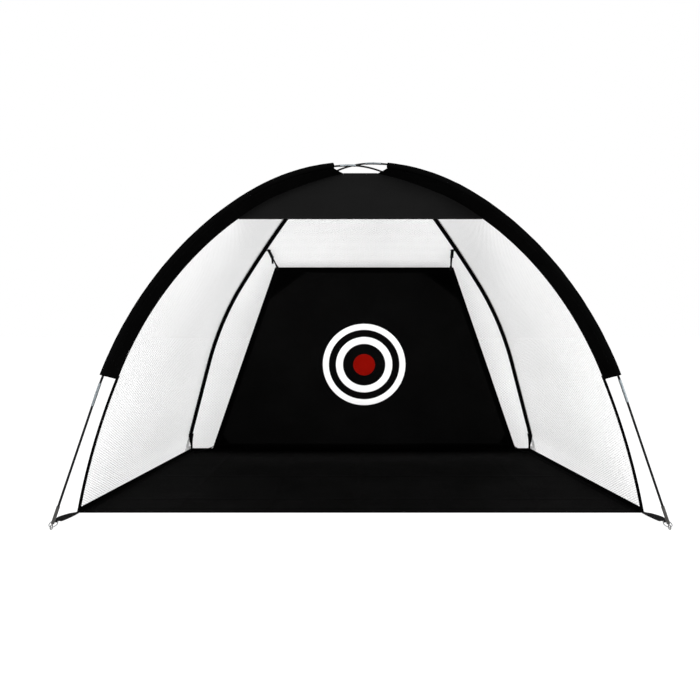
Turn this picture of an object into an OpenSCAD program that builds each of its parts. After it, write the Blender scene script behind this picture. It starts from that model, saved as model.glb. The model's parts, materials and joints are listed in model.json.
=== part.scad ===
// Golf chipping net: two crossed sectional poles hold up a net tent with a hanging target.
// Millimetres, +Z up, the open front faces -Y. Origin: on the ground, mid-width, midway
// between the front and the rear feet.

/* [Floor] */
// Width of the floor sheet along its front edge
floor_front_w = 2040; // [1900:10:2200]
// Width of the floor sheet along its rear edge
floor_rear_w = 1810; // [1700:10:1950]
// Depth of the floor sheet
floor_depth = 1005; // [950:5:1100]
// Thickness of the floor cloth
floor_t = 1.4; // [1:0.1:3]

/* [Arch] */
// Height of the pole at the top of its arch, to its centre
arch_h = 1385; // [1360:5:1420]
// Distance between the two feet of one pole
arch_span = 2310; // [2290:5:2340]
// Angle in plan between a pole and the front edge
plan_angle = 31.4; // [30:0.1:33]
// Distance from the floor's rear corner to the rear foot
rear_foot_gap = 45; // [40:1:60]
// Lean of the front leg from upright, in degrees
front_lean = 17.5; // [16.5:0.1:18.5]
// Bend of each pole section between the two straight end sections, front to rear, in degrees
section_bends = [19, 19, 25, 54, 5, 21]; // [3:1:58]

/* [Poles] */
// Outside diameter of a pole section
pole_d = 7.9; // [7:0.1:8.5]
// Bore of a pole section
pole_bore = 4.6; // [3:0.1:5]
// Outside diameter of a ferrule
ferrule_d = 9.5; // [9.2:0.1:10]
// Length of a ferrule
ferrule_len = 80; // [60:5:100]
// Length of the metal tip on each pole end
tip_len = 58; // [50:1:65]
// Outside diameter of the tip
tip_d = 11; // [10.5:0.1:12]

/* [Foot hardware] */
// Wire diameter of the ring
ring_wire = 3; // [2.5:0.1:3.5]
// Outside diameter of the ring
ring_d = 30; // [28:1:34]
// Upward tilt of the ring towards the floor corner
ring_tilt = 32; // [25:1:40]
// Diameter of the pin
pin_d = 4.2; // [3.8:0.1:4.4]
// Wire diameter of the pin's eye
eye_wire = 3; // [2.5:0.1:3.2]
// Outside diameter of the pin's eye
eye_d = 17; // [16:0.5:18]
// Width of the webbing strap
strap_w = 14; // [12:1:16]
// Thickness of the webbing strap
strap_t = 1.6; // [1.2:0.1:2]

/* [Bands and sleeves] */
// Width of the front band, from the pole to its inner edge
band_w = 70; // [60:1:80]
// Angle of the band out of the pole's plane, towards the side net
band_turn = 38; // [30:1:45]
// Arc length from the foot to the lower end of the band
band_start = 545; // [520:5:580]
// Distance along the pole from the crossing to the end of the front sleeve
front_sleeve_end = 138; // [120:2:160]
// Distance along the pole from the crossing to the end of the band
band_end = 76; // [70:2:100]
// Distance along the pole from the crossing to the start of the rear sleeve
rear_sleeve_start = 170; // [150:5:200]
// Cloth thickness of the bands and sleeves
band_t = 1.2; // [1:0.1:1.6]
// Clear width inside a sleeve, across the pole
sleeve_bore = 12.4; // [12:0.1:14]
// Clear length inside a sleeve, towards the inside of the arch
sleeve_slot = 21; // [20:0.1:24]

/* [Nets] */
// Thickness of the net panels
net_t = 1.6; // [1.2:0.1:2.4]
// Width of a mesh cord
net_cord = 7; // [5:1:10]
// Rows of mesh in every net panel
net_rows = 12; // [8:1:12]
// Columns of mesh in the rear net
rear_cols = 11; // [8:1:11]
// Columns of mesh in a side net
side_cols = 7; // [5:1:7]
// Height of the peak panel's lower edge
peak_low = 1108; // [1080:1:1140]
// Outward bow of the hem between the floor corner and the band
hem_bow = 14; // [0:1:25]

/* [Target] */
// Width of the target along its top edge
target_top_w = 865; // [820:5:900]
// Width of the target along its bottom edge
target_low_w = 1530; // [1480:5:1560]
// Height of the target along its face
target_h = 910; // [880:5:930]
// Height of the target's top edge above the ground
target_top_z = 960; // [940:5:980]
// Lean of the target from upright, with its foot to the rear
target_lean = 7.3; // [6:0.1:8.5]
// Distance of the target's top edge behind the floor's front edge
target_top_y = 715; // [700:5:730]
// Sideways shift of the target in the tent
target_shift = 18; // [-25:1:25]
// Thickness of the target cloth
target_t = 2; // [1.6:0.1:3]
// Width of the target's hem
hem_w = 25; // [15:1:30]
// Leg of an upper corner patch
patch_leg = 180; // [150:5:200]
// Leg of a lower corner patch
low_patch_leg = 100; // [80:5:120]
// Distance from the target's top edge to the middle of the rings
bull_drop = 480; // [460:5:500]
// Outside diameter of the outer ring
ring1_d = 410; // [400:2:420]
// Inside diameter of the outer ring
ring1_bore = 350; // [340:2:360]
// Outside diameter of the inner ring
ring2_d = 280; // [270:2:290]
// Inside diameter of the inner ring
ring2_bore = 210; // [200:2:220]
// Diameter of the bull
bull_d = 108; // [100:1:115]
// Height of the ties' hang loops above the ground
hang_z = 1045; // [1035:1:1055]

/* [Hidden] */
$fn = 48;

black = [0.07, 0.07, 0.075];
mesh_white = [0.9, 0.9, 0.9];
steel = [0.75, 0.76, 0.78];
dull_steel = [0.5, 0.51, 0.53];
peak_grey = [0.2, 0.2, 0.2];

// ---- plan of the feet, measured from the middle of the floor's front edge ----
rear_corner = [floor_rear_w / 2, floor_depth];
front_corner = [floor_front_w / 2, 0];
along = [cos(plan_angle), sin(plan_angle)];
rear_foot = rear_corner + rear_foot_gap * along;
front_foot = [arch_span * along[0] - rear_foot[0], rear_foot[1] - arch_span * along[1]];
mid_y = (front_foot[1] + rear_foot[1]) / 2;
cross_s = front_foot[0] / along[0];

// ---- the arch in its own upright plane: [s, z]; lean is the angle from upright ----
// Each section bends evenly. The end sections are straight, and their lengths and the
// length of the six between them follow from the arch's height and span.
function seg_dir(a) = [sin(a), cos(a)];
function chord(a, b) = [cos(a) - cos(b), sin(b) - sin(a)];
function unit_chord(a, bend) = bend == 0 ? seg_dir(a) : chord(a, a + bend) * 180 / PI / bend;
function total(v, n) = n == 1 ? v[0] : v[n - 1] + total(v, n - 1);
bends = concat([0], section_bends, [0]);
sections = len(bends);
leans = [for (i = 0, a = front_lean; i < sections; a = a + bends[i], i = i + 1) a];
rear_lean = leans[sections - 1];
units = [for (i = [0:sections - 1]) unit_chord(leans[i], bends[i])];
bent_units = [for (i = [1:sections - 2]) units[i]];
crown = [for (i = [1:sections - 2]) if (leans[i] < 90 && leans[i + 1] >= 90) i][0];
crown_rise =
  total(bent_units, crown - 1)[1] + (1 - sin(leans[crown])) * 180 / PI / bends[crown];

function arch(h) =
  let(
    bent = total(bent_units, sections - 2),
    // unknowns: front leg, rear leg, bent section; rows: top height, closing height, span
    c1 = [cos(front_lean), cos(front_lean), sin(front_lean)],
    c2 = [0, cos(rear_lean), sin(rear_lean)],
    c3 = [crown_rise, bent[1], bent[0]],
    goal = [h, 0, arch_span],
    det = c1 * cross(c2, c3),
    leg1 = (goal * cross(c2, c3)) / det,
    leg2 = (c1 * cross(goal, c3)) / det,
    mid = (c1 * cross(c2, goal)) / det,
    lens = [for (i = [0:sections - 1]) i == 0 ? leg1 : i == sections - 1 ? leg2 : mid],
    steps = [for (i = [0:sections - 1]) lens[i] * units[i]]
  )
  // each section: start point, start lean, length, bend radius (0 is straight), start arc length
  [
    for (i = [0:sections - 1]) [
      i == 0 ? [0, 0] : total(steps, i),
      leans[i],
      lens[i],
      bends[i] == 0 ? 0 : lens[i] * 180 / PI / bends[i],
      i == 0 ? 0 : total(lens, i)
    ]
  ];

function arch_len(chain) = chain[sections - 1][4] + chain[sections - 1][2];
function lean_in(g, t) = g[3] == 0 ? g[1] : g[1] + (t - g[4]) / g[3] * 180 / PI;
function point_in(g, t) =
  g[3] == 0 ? g[0] + (t - g[4]) * seg_dir(g[1]) : g[0] + g[3] * chord(g[1], lean_in(g, t));
function piece_at(chain, t, i = sections - 1) =
  i == 0 || t >= chain[i][4] ? chain[i] : piece_at(chain, t, i - 1);
function lean_at(chain, t) = lean_in(piece_at(chain, t), t);
function point_at(chain, t) = point_in(piece_at(chain, t), t);

// Value of t where the rising function f reaches goal
function solve(f, goal, a, b, n = 26) =
  let(m = (a + b) / 2)
    n == 0 ? m : f(m) < goal ? solve(f, goal, m, b, n - 1) : solve(f, goal, a, m, n - 1);

// The two poles ride over each other at the crossing; the cloth follows the mean arch.
pass_gap = pole_d / 2 + 0.3;
mean_arch = arch(arch_h);
low_arch = arch(arch_h - pass_gap);
high_arch = arch(arch_h + pass_gap);
mean_len = arch_len(mean_arch);
cross_t = solve(function(t) point_at(mean_arch, t)[0], cross_s, 0, mean_len);

// ---- points of the left side in space: n towards the inside, b towards the side net ----
function to_space(s, b, z) =
  [-front_foot[0] + s * along[0] - b * along[1], front_foot[1] + s * along[1] + b * along[0] - mid_y, z];
function flip(p) = [-p[0], p[1], p[2]];
function beside(t, n, b) =
  let(p = point_at(mean_arch, t), th = lean_at(mean_arch, t))
    to_space(p[0] + n * cos(th), b, p[1] - n * sin(th));

// Inner edge of the left front band, at arc length t from the front foot
function band_edge(t, w = band_w) = beside(t, w * cos(band_turn), w * sin(band_turn));

// Left rear edge of the cloth, at arc length u up from the rear foot of the other pole
seam_in = sleeve_slot / 2 + 5;
corner_rise = 150;
function rear_beside(u, n) = flip(beside(mean_len - u, n, 0));
function rear_edge(u) =
  let(p = rear_beside(u, seam_in), f = min(1, u / corner_rise))
    f * p + (1 - f) * [-rear_corner[0], rear_corner[1] - mid_y, p[2]];

floor_corner = [-front_corner[0], -mid_y, floor_t];
band_foot = band_edge(band_start);
hem_mid = (floor_corner + band_foot) / 2 + [-hem_bow, 0, 0];
// Front edge of the side net: f runs 0 to 1 along the hem
function hem_edge(f) =
  (1 - f) * (1 - f) * floor_corner + 2 * f * (1 - f) * (2 * hem_mid - (floor_corner + band_foot) / 2)
  + f * f * band_foot;

top_t = cross_t - band_end;
net_top_z = band_edge(top_t)[2];
peak_low_t = solve(function(t) band_edge(t)[2], peak_low, band_start, top_t);
function front_at(z) =
  z < band_foot[2]
    ? hem_edge(solve(function(f) hem_edge(f)[2], z, 0, 1))
    : band_edge(solve(function(t) band_edge(t)[2], z, band_start, top_t));
function rear_u(z) = solve(function(u) rear_edge(u)[2], z, 0, mean_len - cross_t - band_end);
function rear_at(z) = rear_edge(rear_u(z));

// ---- target frame: x across, y up its face from its top edge, z out towards the front ----
target_top = [target_shift, target_top_y - mid_y, target_top_z];
hang_left = rear_at(hang_z) + [14, -20, 0];
hang_right = flip(hang_left);
function on_target(x, y, z) =
  target_top + [
    x,
    -y * sin(target_lean) - z * cos(target_lean),
    y * cos(target_lean) - z * sin(target_lean)
  ];

// ---------------------------------------------------------------- helpers
// Shape (x = n, y = b) drawn along the arch from arc length ta to tb
module run(chain, ta, tb) {
  for (g = chain) {
    a = max(ta, g[4]);
    b = min(tb, g[4] + g[2]);
    if (b - a > 0.01) {
      p = point_in(g, a);
      th = lean_in(g, a);
      if (g[3] == 0)
        translate([p[0], 0, p[1]]) rotate([0, th, 0]) linear_extrude(b - a) children();
      else
        translate([p[0] + g[3] * cos(th), 0, p[1] - g[3] * sin(th)])
          rotate([0, 180 + th, 0])
            rotate([-90, 0, 0])
              rotate_extrude(angle = (b - a) / g[3] * 180 / PI, $fn = 360)
                translate([g[3], 0]) mirror([1, 0]) children();
    }
  }
}

// Places a pole's plane: from the left front foot to the right rear foot
module pole_plane() {
  translate([-front_foot[0], front_foot[1] - mid_y, 0]) rotate([0, 0, plan_angle]) children();
}

// Draws the left version, or its mirror image for the right
module on_side(side) {
  if (side == "left")
    children();
  else
    mirror([1, 0, 0]) children();
}

module tube_shape(outer, bore) {
  difference() {
    circle(d = outer);
    circle(d = bore);
  }
}

// Flat tape from p to q, w wide along X and t thick
module tape(p, q, w, t) {
  hull() {
    translate(p) cube([w, t, t], center = true);
    translate(q) cube([w, t, t], center = true);
  }
}

// Round bar from p to q with round ends
module rod(p, q, d) {
  v = q - p;
  translate(p) rotate([0, acos(v[2] / norm(v)), atan2(v[1], v[0])]) cylinder(h = norm(v), d = d);
  translate(p) sphere(d = d);
  translate(q) sphere(d = d);
}

// Closed shell of thickness t over the grid lines us and vs, both within 0..1.
// place(u, v) gives the middle surface, and is_open(i, j) the patches that are left out.
module rail_panel(us, vs, place, t, is_open) {
  nu = len(us);
  nv = len(vs);
  function side_point(i, j, k) =
    let(
      e = 0.002,
      u = us[i],
      v = vs[j],
      u0 = max(0, u - e),
      u1 = min(1, u + e),
      v0 = max(0, v - e),
      v1 = min(1, v + e),
      c = cross(place(u1, v) - place(u0, v), place(u, v1) - place(u, v0))
    )
      place(u, v) + (k - 0.5) * t * c / norm(c);
  function id(i, j, k) = (k * nv + j) * nu + i;
  function hole(i, j) = i < 0 || j < 0 || i > nu - 2 || j > nv - 2 || is_open(i, j);
  points = [for (k = [0, 1]) for (j = [0:nv - 1]) for (i = [0:nu - 1]) side_point(i, j, k)];
  faces = [
    for (j = [0:nv - 2]) for (i = [0:nu - 2]) if (!hole(i, j)) each [
      [id(i, j, 0), id(i + 1, j, 0), id(i + 1, j + 1, 0), id(i, j + 1, 0)],
      [id(i, j, 1), id(i, j + 1, 1), id(i + 1, j + 1, 1), id(i + 1, j, 1)],
      if (hole(i, j - 1)) [id(i + 1, j, 0), id(i, j, 0), id(i, j, 1), id(i + 1, j, 1)],
      if (hole(i, j + 1)) [id(i, j + 1, 0), id(i + 1, j + 1, 0), id(i + 1, j + 1, 1), id(i, j + 1, 1)],
      if (hole(i - 1, j)) [id(i, j, 0), id(i, j + 1, 0), id(i, j + 1, 1), id(i, j, 1)],
      if (hole(i + 1, j)) [id(i + 1, j + 1, 0), id(i + 1, j, 0), id(i + 1, j, 1), id(i + 1, j + 1, 1)]
    ]
  ];
  polyhedron(points, faces);
}

// Grid lines for n gaps with cords of the given share of the whole between them
function mesh_lines(n, share) =
  let(pitch = (1 - share) / n) [for (i = [0:n]) each [i * pitch, i * pitch + share]];
function is_gap(i, j) = i % 2 == 1 && j % 2 == 1;
function even_lines(n) = [for (i = [0:n]) i / n];
function mix(a, b, f) = a + (b - a) * f;
// Point a share f along a to b, kept clear of both ends by the given distances
function between(a, b, f, gap_a, gap_b) =
  let(d = b - a, len = norm(d)) a + d * (gap_a + f * (len - gap_a - gap_b)) / len;

// ---------------------------------------------------------------- floor
module floor_outline() {
  polygon([
    [-front_corner[0], -mid_y],
    [front_corner[0], -mid_y],
    [rear_corner[0], rear_corner[1] - mid_y],
    [-rear_corner[0], rear_corner[1] - mid_y]
  ]);
}

module floor_sheet() {
  color(black) linear_extrude(floor_t) floor_outline();
}

// Binding tape round the floor's edge, sewn on top of the sheet
tape_w = 22;
tape_t = 1;
module floor_edge_tape() {
  w = floor_front_w / 2;
  v = floor_rear_w / 2;
  lean = atan2(w - v, floor_depth);
  front_in = w - tape_w * tan(lean) - tape_w / cos(lean);
  rear_in = v + tape_w * tan(lean) - tape_w / cos(lean);
  color(black) translate([0, 0, floor_t]) linear_extrude(tape_t) difference() {
    floor_outline();
    polygon([
      [-front_in, tape_w - mid_y],
      [front_in, tape_w - mid_y],
      [rear_in, floor_depth - tape_w - mid_y],
      [-rear_in, floor_depth - tape_w - mid_y]
    ]);
  }
}

// ---------------------------------------------------------------- nets
sewn_gap = 0.3;
net_low_z = floor_t + tape_t + strap_t + 2 * sewn_gap;
net_high_z = net_top_z - sewn_gap;
// Distance of a net's edge from the front seam, and from the flap between the nets at the rear
net_edge_gap = 1.2;
flap_gap = (band_t + net_t) / 2 + sewn_gap;
flap_normal = [sin(plan_angle), cos(plan_angle), 0];

module side_net(side) {
  place = function(u, v)
    let(
      z = mix(net_low_z, net_high_z, v),
      a = front_at(z),
      b = rear_at(z),
      slant = (b - a) * flap_normal / norm(b - a)
    )
      between(a, b, u, net_edge_gap, flap_gap / slant);
  color(mesh_white) on_side(side)
    rail_panel(
      mesh_lines(side_cols, net_cord / floor_depth * 2),
      mesh_lines(net_rows, net_cord / net_high_z),
      place, net_t, function(i, j) is_gap(i, j)
    );
}

module rear_net() {
  gap = flap_gap / flap_normal[0];
  place = function(u, v)
    let(z = mix(net_low_z, net_high_z, v), p = rear_at(z)) between(p, flip(p), u, gap, gap);
  color(mesh_white)
    rail_panel(
      mesh_lines(rear_cols, net_cord / floor_rear_w * 2),
      mesh_lines(net_rows, net_cord / net_high_z),
      place, net_t, function(i, j) is_gap(i, j)
    );
}

// Grey peak panel between the two bands
peak_rows = 14;
module peak_panel() {
  place = function(u, v)
    let(p = band_edge(mix(peak_low_t, top_t, v), band_w)) between(p, flip(p), u, 2, 2);
  color(peak_grey)
    rail_panel(even_lines(4), even_lines(peak_rows), place, band_t, function(i, j) false);
}

// Flat patch that closes the top between the three nets and the peak panel; its rear corners
// are cut off where the rear sleeves come down
corner_cut = 26;
module crown_patch() {
  p = band_edge(top_t);
  q = rear_at(net_top_z);
  d = [p[0] - q[0], p[1] - q[1]];
  cut = [q[0], q[1]] + corner_cut * d / norm(d);
  color(black) translate([0, 0, net_top_z + 0.8]) linear_extrude(band_t)
    polygon([
      [p[0], p[1]], [-p[0], p[1]], [-cut[0], cut[1]], [-q[0] - corner_cut, q[1]],
      [q[0] + corner_cut, q[1]], [cut[0], cut[1]]
    ]);
}

// ---------------------------------------------------------------- bands and sleeves
// A sleeve is an oval tube of cloth with a flap. Its section is a loop of points (n, b); the
// first four are the flap's, from its root on one face, out to its edge and back.
loop_sides = 9;
root_half = 5;
function oval(a, grow) = [(sleeve_slot / 2 + grow) * cos(a), (sleeve_bore / 2 + grow) * sin(a)];
function loop_angles(turn) = [
  turn - root_half,
  turn + root_half,
  for (i = [1:loop_sides - 1]) turn + root_half + i * (360 - 2 * root_half) / loop_sides
];
function flap_tip(turn, w, sign) = w * [cos(turn), sin(turn)] + sign * band_t / 2 * [-sin(turn), cos(turn)];
function outer_loop(turn, w) =
  let(a = loop_angles(turn)) [
    oval(a[0], band_t), flap_tip(turn, w, -1), flap_tip(turn, w, 1),
    for (i = [1:loop_sides]) oval(a[i], band_t)
  ];
function inner_loop(turn) = [for (a = loop_angles(turn)) oval(a, 0)];
function section_at(t, pts) =
  let(p = point_at(mean_arch, t), th = lean_at(mean_arch, t))
    [for (q = pts) [p[0] + q[0] * cos(th), q[1], p[1] - q[0] * sin(th)]];

// Sleeve from t0 to t1; its flap, of width w, then tapers off to its edge by t2
ring_step = 50;
taper_steps = 2;
taper_left = 0.12;
module sleeve(t0, t1, t2, turn, w) {
  steps = ceil((t1 - t0) / ring_step);
  no = loop_sides + 3;
  ni = loop_sides + 1;
  outer = outer_loop(turn, w);
  root = norm(outer[0]);
  function taper(f) =
    let(r = mix(root, w, f * (1 - taper_left)))
      [flap_tip(turn, r, -1), outer[1], outer[2], flap_tip(turn, r, 1)];
  points = [
    for (i = [0:steps]) each section_at(mix(t0, t1, i / steps), outer),
    for (i = [0:steps]) each section_at(mix(t0, t1, i / steps), inner_loop(turn)),
    if (t2 > t1) for (i = [1:taper_steps])
      each section_at(mix(t1, t2, i / taper_steps), taper(i / taper_steps))
  ];
  function o(i, k) = i * no + k % no;
  function n(i, k) = (steps + 1) * no + i * ni + k % ni;
  // outer point that faces inner point k
  function facing(k) = k % ni == 0 ? 0 : k % ni + 2;
  function x(i, k) = i == 0 ? o(steps, k % 4) : (steps + 1) * (no + ni) + (i - 1) * 4 + k % 4;
  faces = [
    for (i = [0:steps - 1]) each [
      for (k = [0:no - 1]) [o(i + 1, k), o(i + 1, k + 1), o(i, k + 1), o(i, k)],
      for (k = [0:ni - 1]) [n(i + 1, k + 1), n(i + 1, k), n(i, k), n(i, k + 1)]
    ],
    for (k = [0:ni - 1]) [n(0, k + 1), n(0, k), o(0, facing(k)), o(0, facing(k + 1))],
    for (k = [0:ni - 1])
      [n(steps, k), n(steps, k + 1), o(steps, facing(k + 1)), o(steps, facing(k))],
    [o(0, 0), o(0, 1), o(0, 2), o(0, 3)],
    if (t2 > t1) for (i = [0:taper_steps - 1]) for (k = [0:3])
      [x(i + 1, k), x(i + 1, k + 1), x(i, k + 1), x(i, k)],
    t2 > t1 ? [for (k = [3:-1:0]) x(taper_steps, k)] : [for (k = [3:-1:0]) o(steps, k)]
  ];
  polyhedron(points, faces);
}

module front_band(side) {
  color(black) on_side(side) pole_plane()
    sleeve(band_start, cross_t - front_sleeve_end, top_t, band_turn, band_w);
}

// The rear sleeve's flap reaches in past the seam, between the side net and the rear net
rear_fin = seam_in + 5;
// Clear length of pole between the rear sleeve and the metal tip
sleeve_clear = 20;
module rear_sleeve(side) {
  low_end = mean_len - pole_low - tip_len - sleeve_clear;
  color(black) on_side(side) mirror([1, 0, 0]) pole_plane()
    sleeve(cross_t + rear_sleeve_start, low_end, 0, 0, rear_fin);
}

// Tape on the open front edge of a side net
hem_tape_w = 12;
hem_lap = 0.4;
hem_steps = 10;
hem_ends = [0.008, 0.995];
module hem_tape(side) {
  place = function(u, v)
    hem_edge(mix(hem_ends[0], hem_ends[1], v)) + [0, hem_lap + (u - 1) * hem_tape_w, 0];
  color(black) on_side(side)
    rail_panel([0, 1], even_lines(hem_steps), place, band_t, function(i, j) false);
}

// ---------------------------------------------------------------- target
function half_w(y) = mix(target_top_w, target_low_w, -y / target_h) / 2;

module on_face() {
  translate(target_top) rotate([90 + target_lean, 0, 0]) children();
}

module target_outline() {
  polygon([
    [-half_w(0), 0], [-half_w(-target_h), -target_h],
    [half_w(-target_h), -target_h], [half_w(0), 0]
  ]);
}

module target_sheet() {
  color(black) on_face() translate([0, 0, -target_t / 2]) linear_extrude(target_t) target_outline();
}

trim_t = 0.6;
module target_hem() {
  slope = atan2(target_low_w - target_top_w, 2 * target_h);
  side_in = hem_w / cos(slope);
  color(black) on_face() translate([0, 0, target_t / 2]) linear_extrude(trim_t) difference() {
    target_outline();
    polygon([
      [-half_w(-hem_w) + side_in, -hem_w],
      [-half_w(hem_w - target_h) + side_in, hem_w - target_h],
      [half_w(hem_w - target_h) - side_in, hem_w - target_h],
      [half_w(-hem_w) - side_in, -hem_w]
    ]);
  }
}

// Doubled cloth in the four corners, on the back of the sheet
module target_patches() {
  color(black) on_face() translate([0, 0, -target_t / 2 - trim_t]) linear_extrude(trim_t)
    for (m = [0, 1]) mirror([m, 0]) {
      polygon([[half_w(0), 0], [half_w(0) - patch_leg, 0], [half_w(-patch_leg), -patch_leg]]);
      polygon([
        [half_w(-target_h), -target_h],
        [half_w(-target_h) - low_patch_leg, -target_h],
        [half_w(low_patch_leg - target_h), low_patch_leg - target_h]
      ]);
    }
}

module face_ring(outer, bore) {
  on_face() translate([0, -bull_drop, target_t / 2]) difference() {
    cylinder(h = trim_t, d = outer, $fn = 96);
    if (bore > 0) translate([0, 0, -1]) cylinder(h = trim_t + 2, d = bore, $fn = 96);
  }
}

module target_outer_ring() {
  color("white") face_ring(ring1_d, ring1_bore);
}

module target_inner_ring() {
  color("white") face_ring(ring2_d, ring2_bore);
}

module target_bull() {
  color([0.54, 0.05, 0.02]) face_ring(bull_d, 0);
}

// ---------------------------------------------------------------- ties and hang loops
loop_bar = 3.2;
loop_w = 20;
loop_back = 6;
// Where the loop's legs meet, on the edge of the sleeve's flap
loop_root = rear_beside(rear_u(hang_z), rear_fin + loop_bar / 2 + sewn_gap / 2);
// Loop sewn on the rear sleeve: a round bar for the tie, and two legs that run back and meet
module hang_loop(side) {
  color(black) on_side(side) {
    translate(hang_left) rotate([0, 90, 0]) cylinder(h = loop_w, d = loop_bar, center = true);
    for (x = [-1, 1]) {
      bar_end = hang_left + [x * (loop_w - loop_bar) / 2, 0, 0];
      knee = bar_end + [0, loop_back, 0];
      rod(bar_end, knee, loop_bar);
      rod(knee, loop_root, loop_bar);
    }
  }
}

tie_w = 8;
tie_t = 1.4;
eye_gap = 0.9;
knot_d = 11;
knot_share = 0.42;
tail_len = 30;
tail_d = 3;
tail_splay = 12;
// Upper tie: an eye round the hang loop's bar, a tape, a knot with a tail, and the sewn end
module upper_tie(side) {
  sign = side == "left" ? -1 : 1;
  top = side == "left" ? hang_left : hang_right;
  sewn = [half_w(0) - tie_w * 1.5, -2];
  low = on_target(sign * sewn[0], sewn[1], target_t / 2 + trim_t + tie_t / 2 + 2 * sewn_gap);
  d = low - top;
  knot = top + knot_share * d;
  eye_out = loop_bar + 2 * eye_gap + 2 * tie_t;
  color(black) {
    difference() {
      union() {
        translate(top) rotate([0, 90, 0]) cylinder(h = tie_w, d = eye_out, center = true);
        tape(top + d * (eye_out / 2 - tie_t / 2) / norm(d), low, tie_w, tie_t);
        translate(knot) sphere(d = knot_d);
        translate(knot) rotate([0, 180 - sign * tail_splay, 0]) cylinder(h = tail_len, d = tail_d);
      }
      translate(top) rotate([0, 90, 0])
        cylinder(h = tie_w + 10, d = loop_bar + 2 * eye_gap, center = true);
    }
  }
}

// Lower tie: from the target's lower corner to the tent's rear corner
module lower_tie(side) {
  sign = side == "left" ? -1 : 1;
  behind = target_t / 2 + trim_t + tie_t / 2 + sewn_gap;
  from = on_target(sign * (half_w(-target_h) - tie_w / 2), tie_w - target_h, -behind);
  to = [
    sign * (rear_corner[0] - tape_w),
    rear_corner[1] - mid_y - tape_w,
    floor_t + tape_t + tie_t / 2 + sewn_gap
  ];
  color(black) tape(from, to, tie_w, tie_t);
}

// ---------------------------------------------------------------- poles
tip_floor = 19.5;
tip_wall = 6;
// Glue gap round a pole in a ferrule or a tip, on the diameter
glue_gap = 0.1;
collar_len = 6;
butt_gap = 0.1;
collar_d = ferrule_d + 0.7;
pole_low = tip_floor / cos(front_lean) + tip_wall;
function joint_at(chain, k) =
  k == 0 ? pole_low : k == sections ? arch_len(chain) - pole_low : chain[k][4];

// One section: a hollow rod from joint to joint
module pole_section(chain, k) {
  color(black) run(chain, joint_at(chain, k - 1), joint_at(chain, k)) tube_shape(pole_d, pole_bore);
}

// Ferrules: over each joint two steel halves that butt inside a pressed collar
module pole_ferrules(chain) {
  bore = pole_d + glue_gap;
  color(steel) for (k = [1:sections - 1]) {
    t = joint_at(chain, k);
    run(chain, t - ferrule_len / 2, t - butt_gap) tube_shape(ferrule_d, bore);
    run(chain, t + butt_gap, t + ferrule_len / 2) tube_shape(ferrule_d, bore);
    p = point_at(chain, t);
    translate([p[0], 0, p[1]]) rotate([0, lean_at(chain, t), 0])
      linear_extrude(collar_len, center = true) tube_shape(collar_d, bore + 3 * glue_gap);
  }
}

module pole_a() {
  pole_plane() children();
}

module pole_b() {
  mirror([1, 0, 0]) pole_plane() children();
}

// Metal tip: the pole sits in its upper bore, the pin in its lower one
module tip(chain, far) {
  first = pole_low - tip_wall;
  last = arch_len(chain) - first;
  from = far ? last - tip_len : first;
  to = far ? last : first + tip_len;
  color(dull_steel) difference() {
    run(chain, from, to) circle(d = tip_d);
    run(chain, far ? from - 1 : from + tip_wall, far ? to - tip_wall : to + 1)
      circle(d = pole_d + glue_gap);
    run(chain, from - 1, to + 1) circle(d = pin_d + 2 * glue_gap);
  }
}

// ---------------------------------------------------------------- foot hardware
// Drawn from the eye's centre: x towards the floor corner, z up, ring axis along y
eye_z = eye_d / 2 + 0.3;
ring_r = (ring_d - ring_wire) / 2;
eye_r = (eye_d - eye_wire) / 2;

// Moves to a foot's eye and turns x towards the floor corner
module at_foot(side, far) {
  chain = mean_arch;
  last = arch_len(chain);
  t = far ? last - eye_z / cos(180 - rear_lean) : eye_z / cos(front_lean);
  p = point_at(chain, t);
  foot = far ? flip(to_space(p[0], 0, 0)) : to_space(p[0], 0, 0);
  corner = far ? [-rear_corner[0], rear_corner[1] - mid_y, 0] : [-front_corner[0], -mid_y, 0];
  d = corner - foot;
  on_side(side) translate([foot[0], foot[1], eye_z]) rotate([0, 0, atan2(d[1], d[0])]) children();
}

module foot_ring(side, far) {
  color(steel) at_foot(side, far)
    rotate([0, -ring_tilt, 0]) translate([ring_r, 0, 0])
      rotate_extrude() translate([ring_r, 0]) circle(d = ring_wire);
}

// Pin: a round shank up the tip's bore and an eye that the ring runs through
module foot_pin(side, far) {
  color(dull_steel) {
    at_foot(side, far) rotate([90, 0, 0])
      rotate_extrude() translate([eye_r, 0]) circle(d = eye_wire);
    on_side(side) pin_shank(far);
  }
}

pin_len = 44;
module pin_shank(far) {
  last = mean_len;
  lift = eye_z + eye_r;
  a = lift / cos(front_lean);
  b = last - lift / cos(180 - rear_lean);
  if (far)
    mirror([1, 0, 0]) pole_plane() run(mean_arch, b - pin_len, b) circle(d = pin_d);
  else
    pole_plane() run(mean_arch, a, a + pin_len) circle(d = pin_d);
}

// Webbing strap: a sewn loop round the ring and a tail to the floor corner
loop_in = 7.6;
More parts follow.
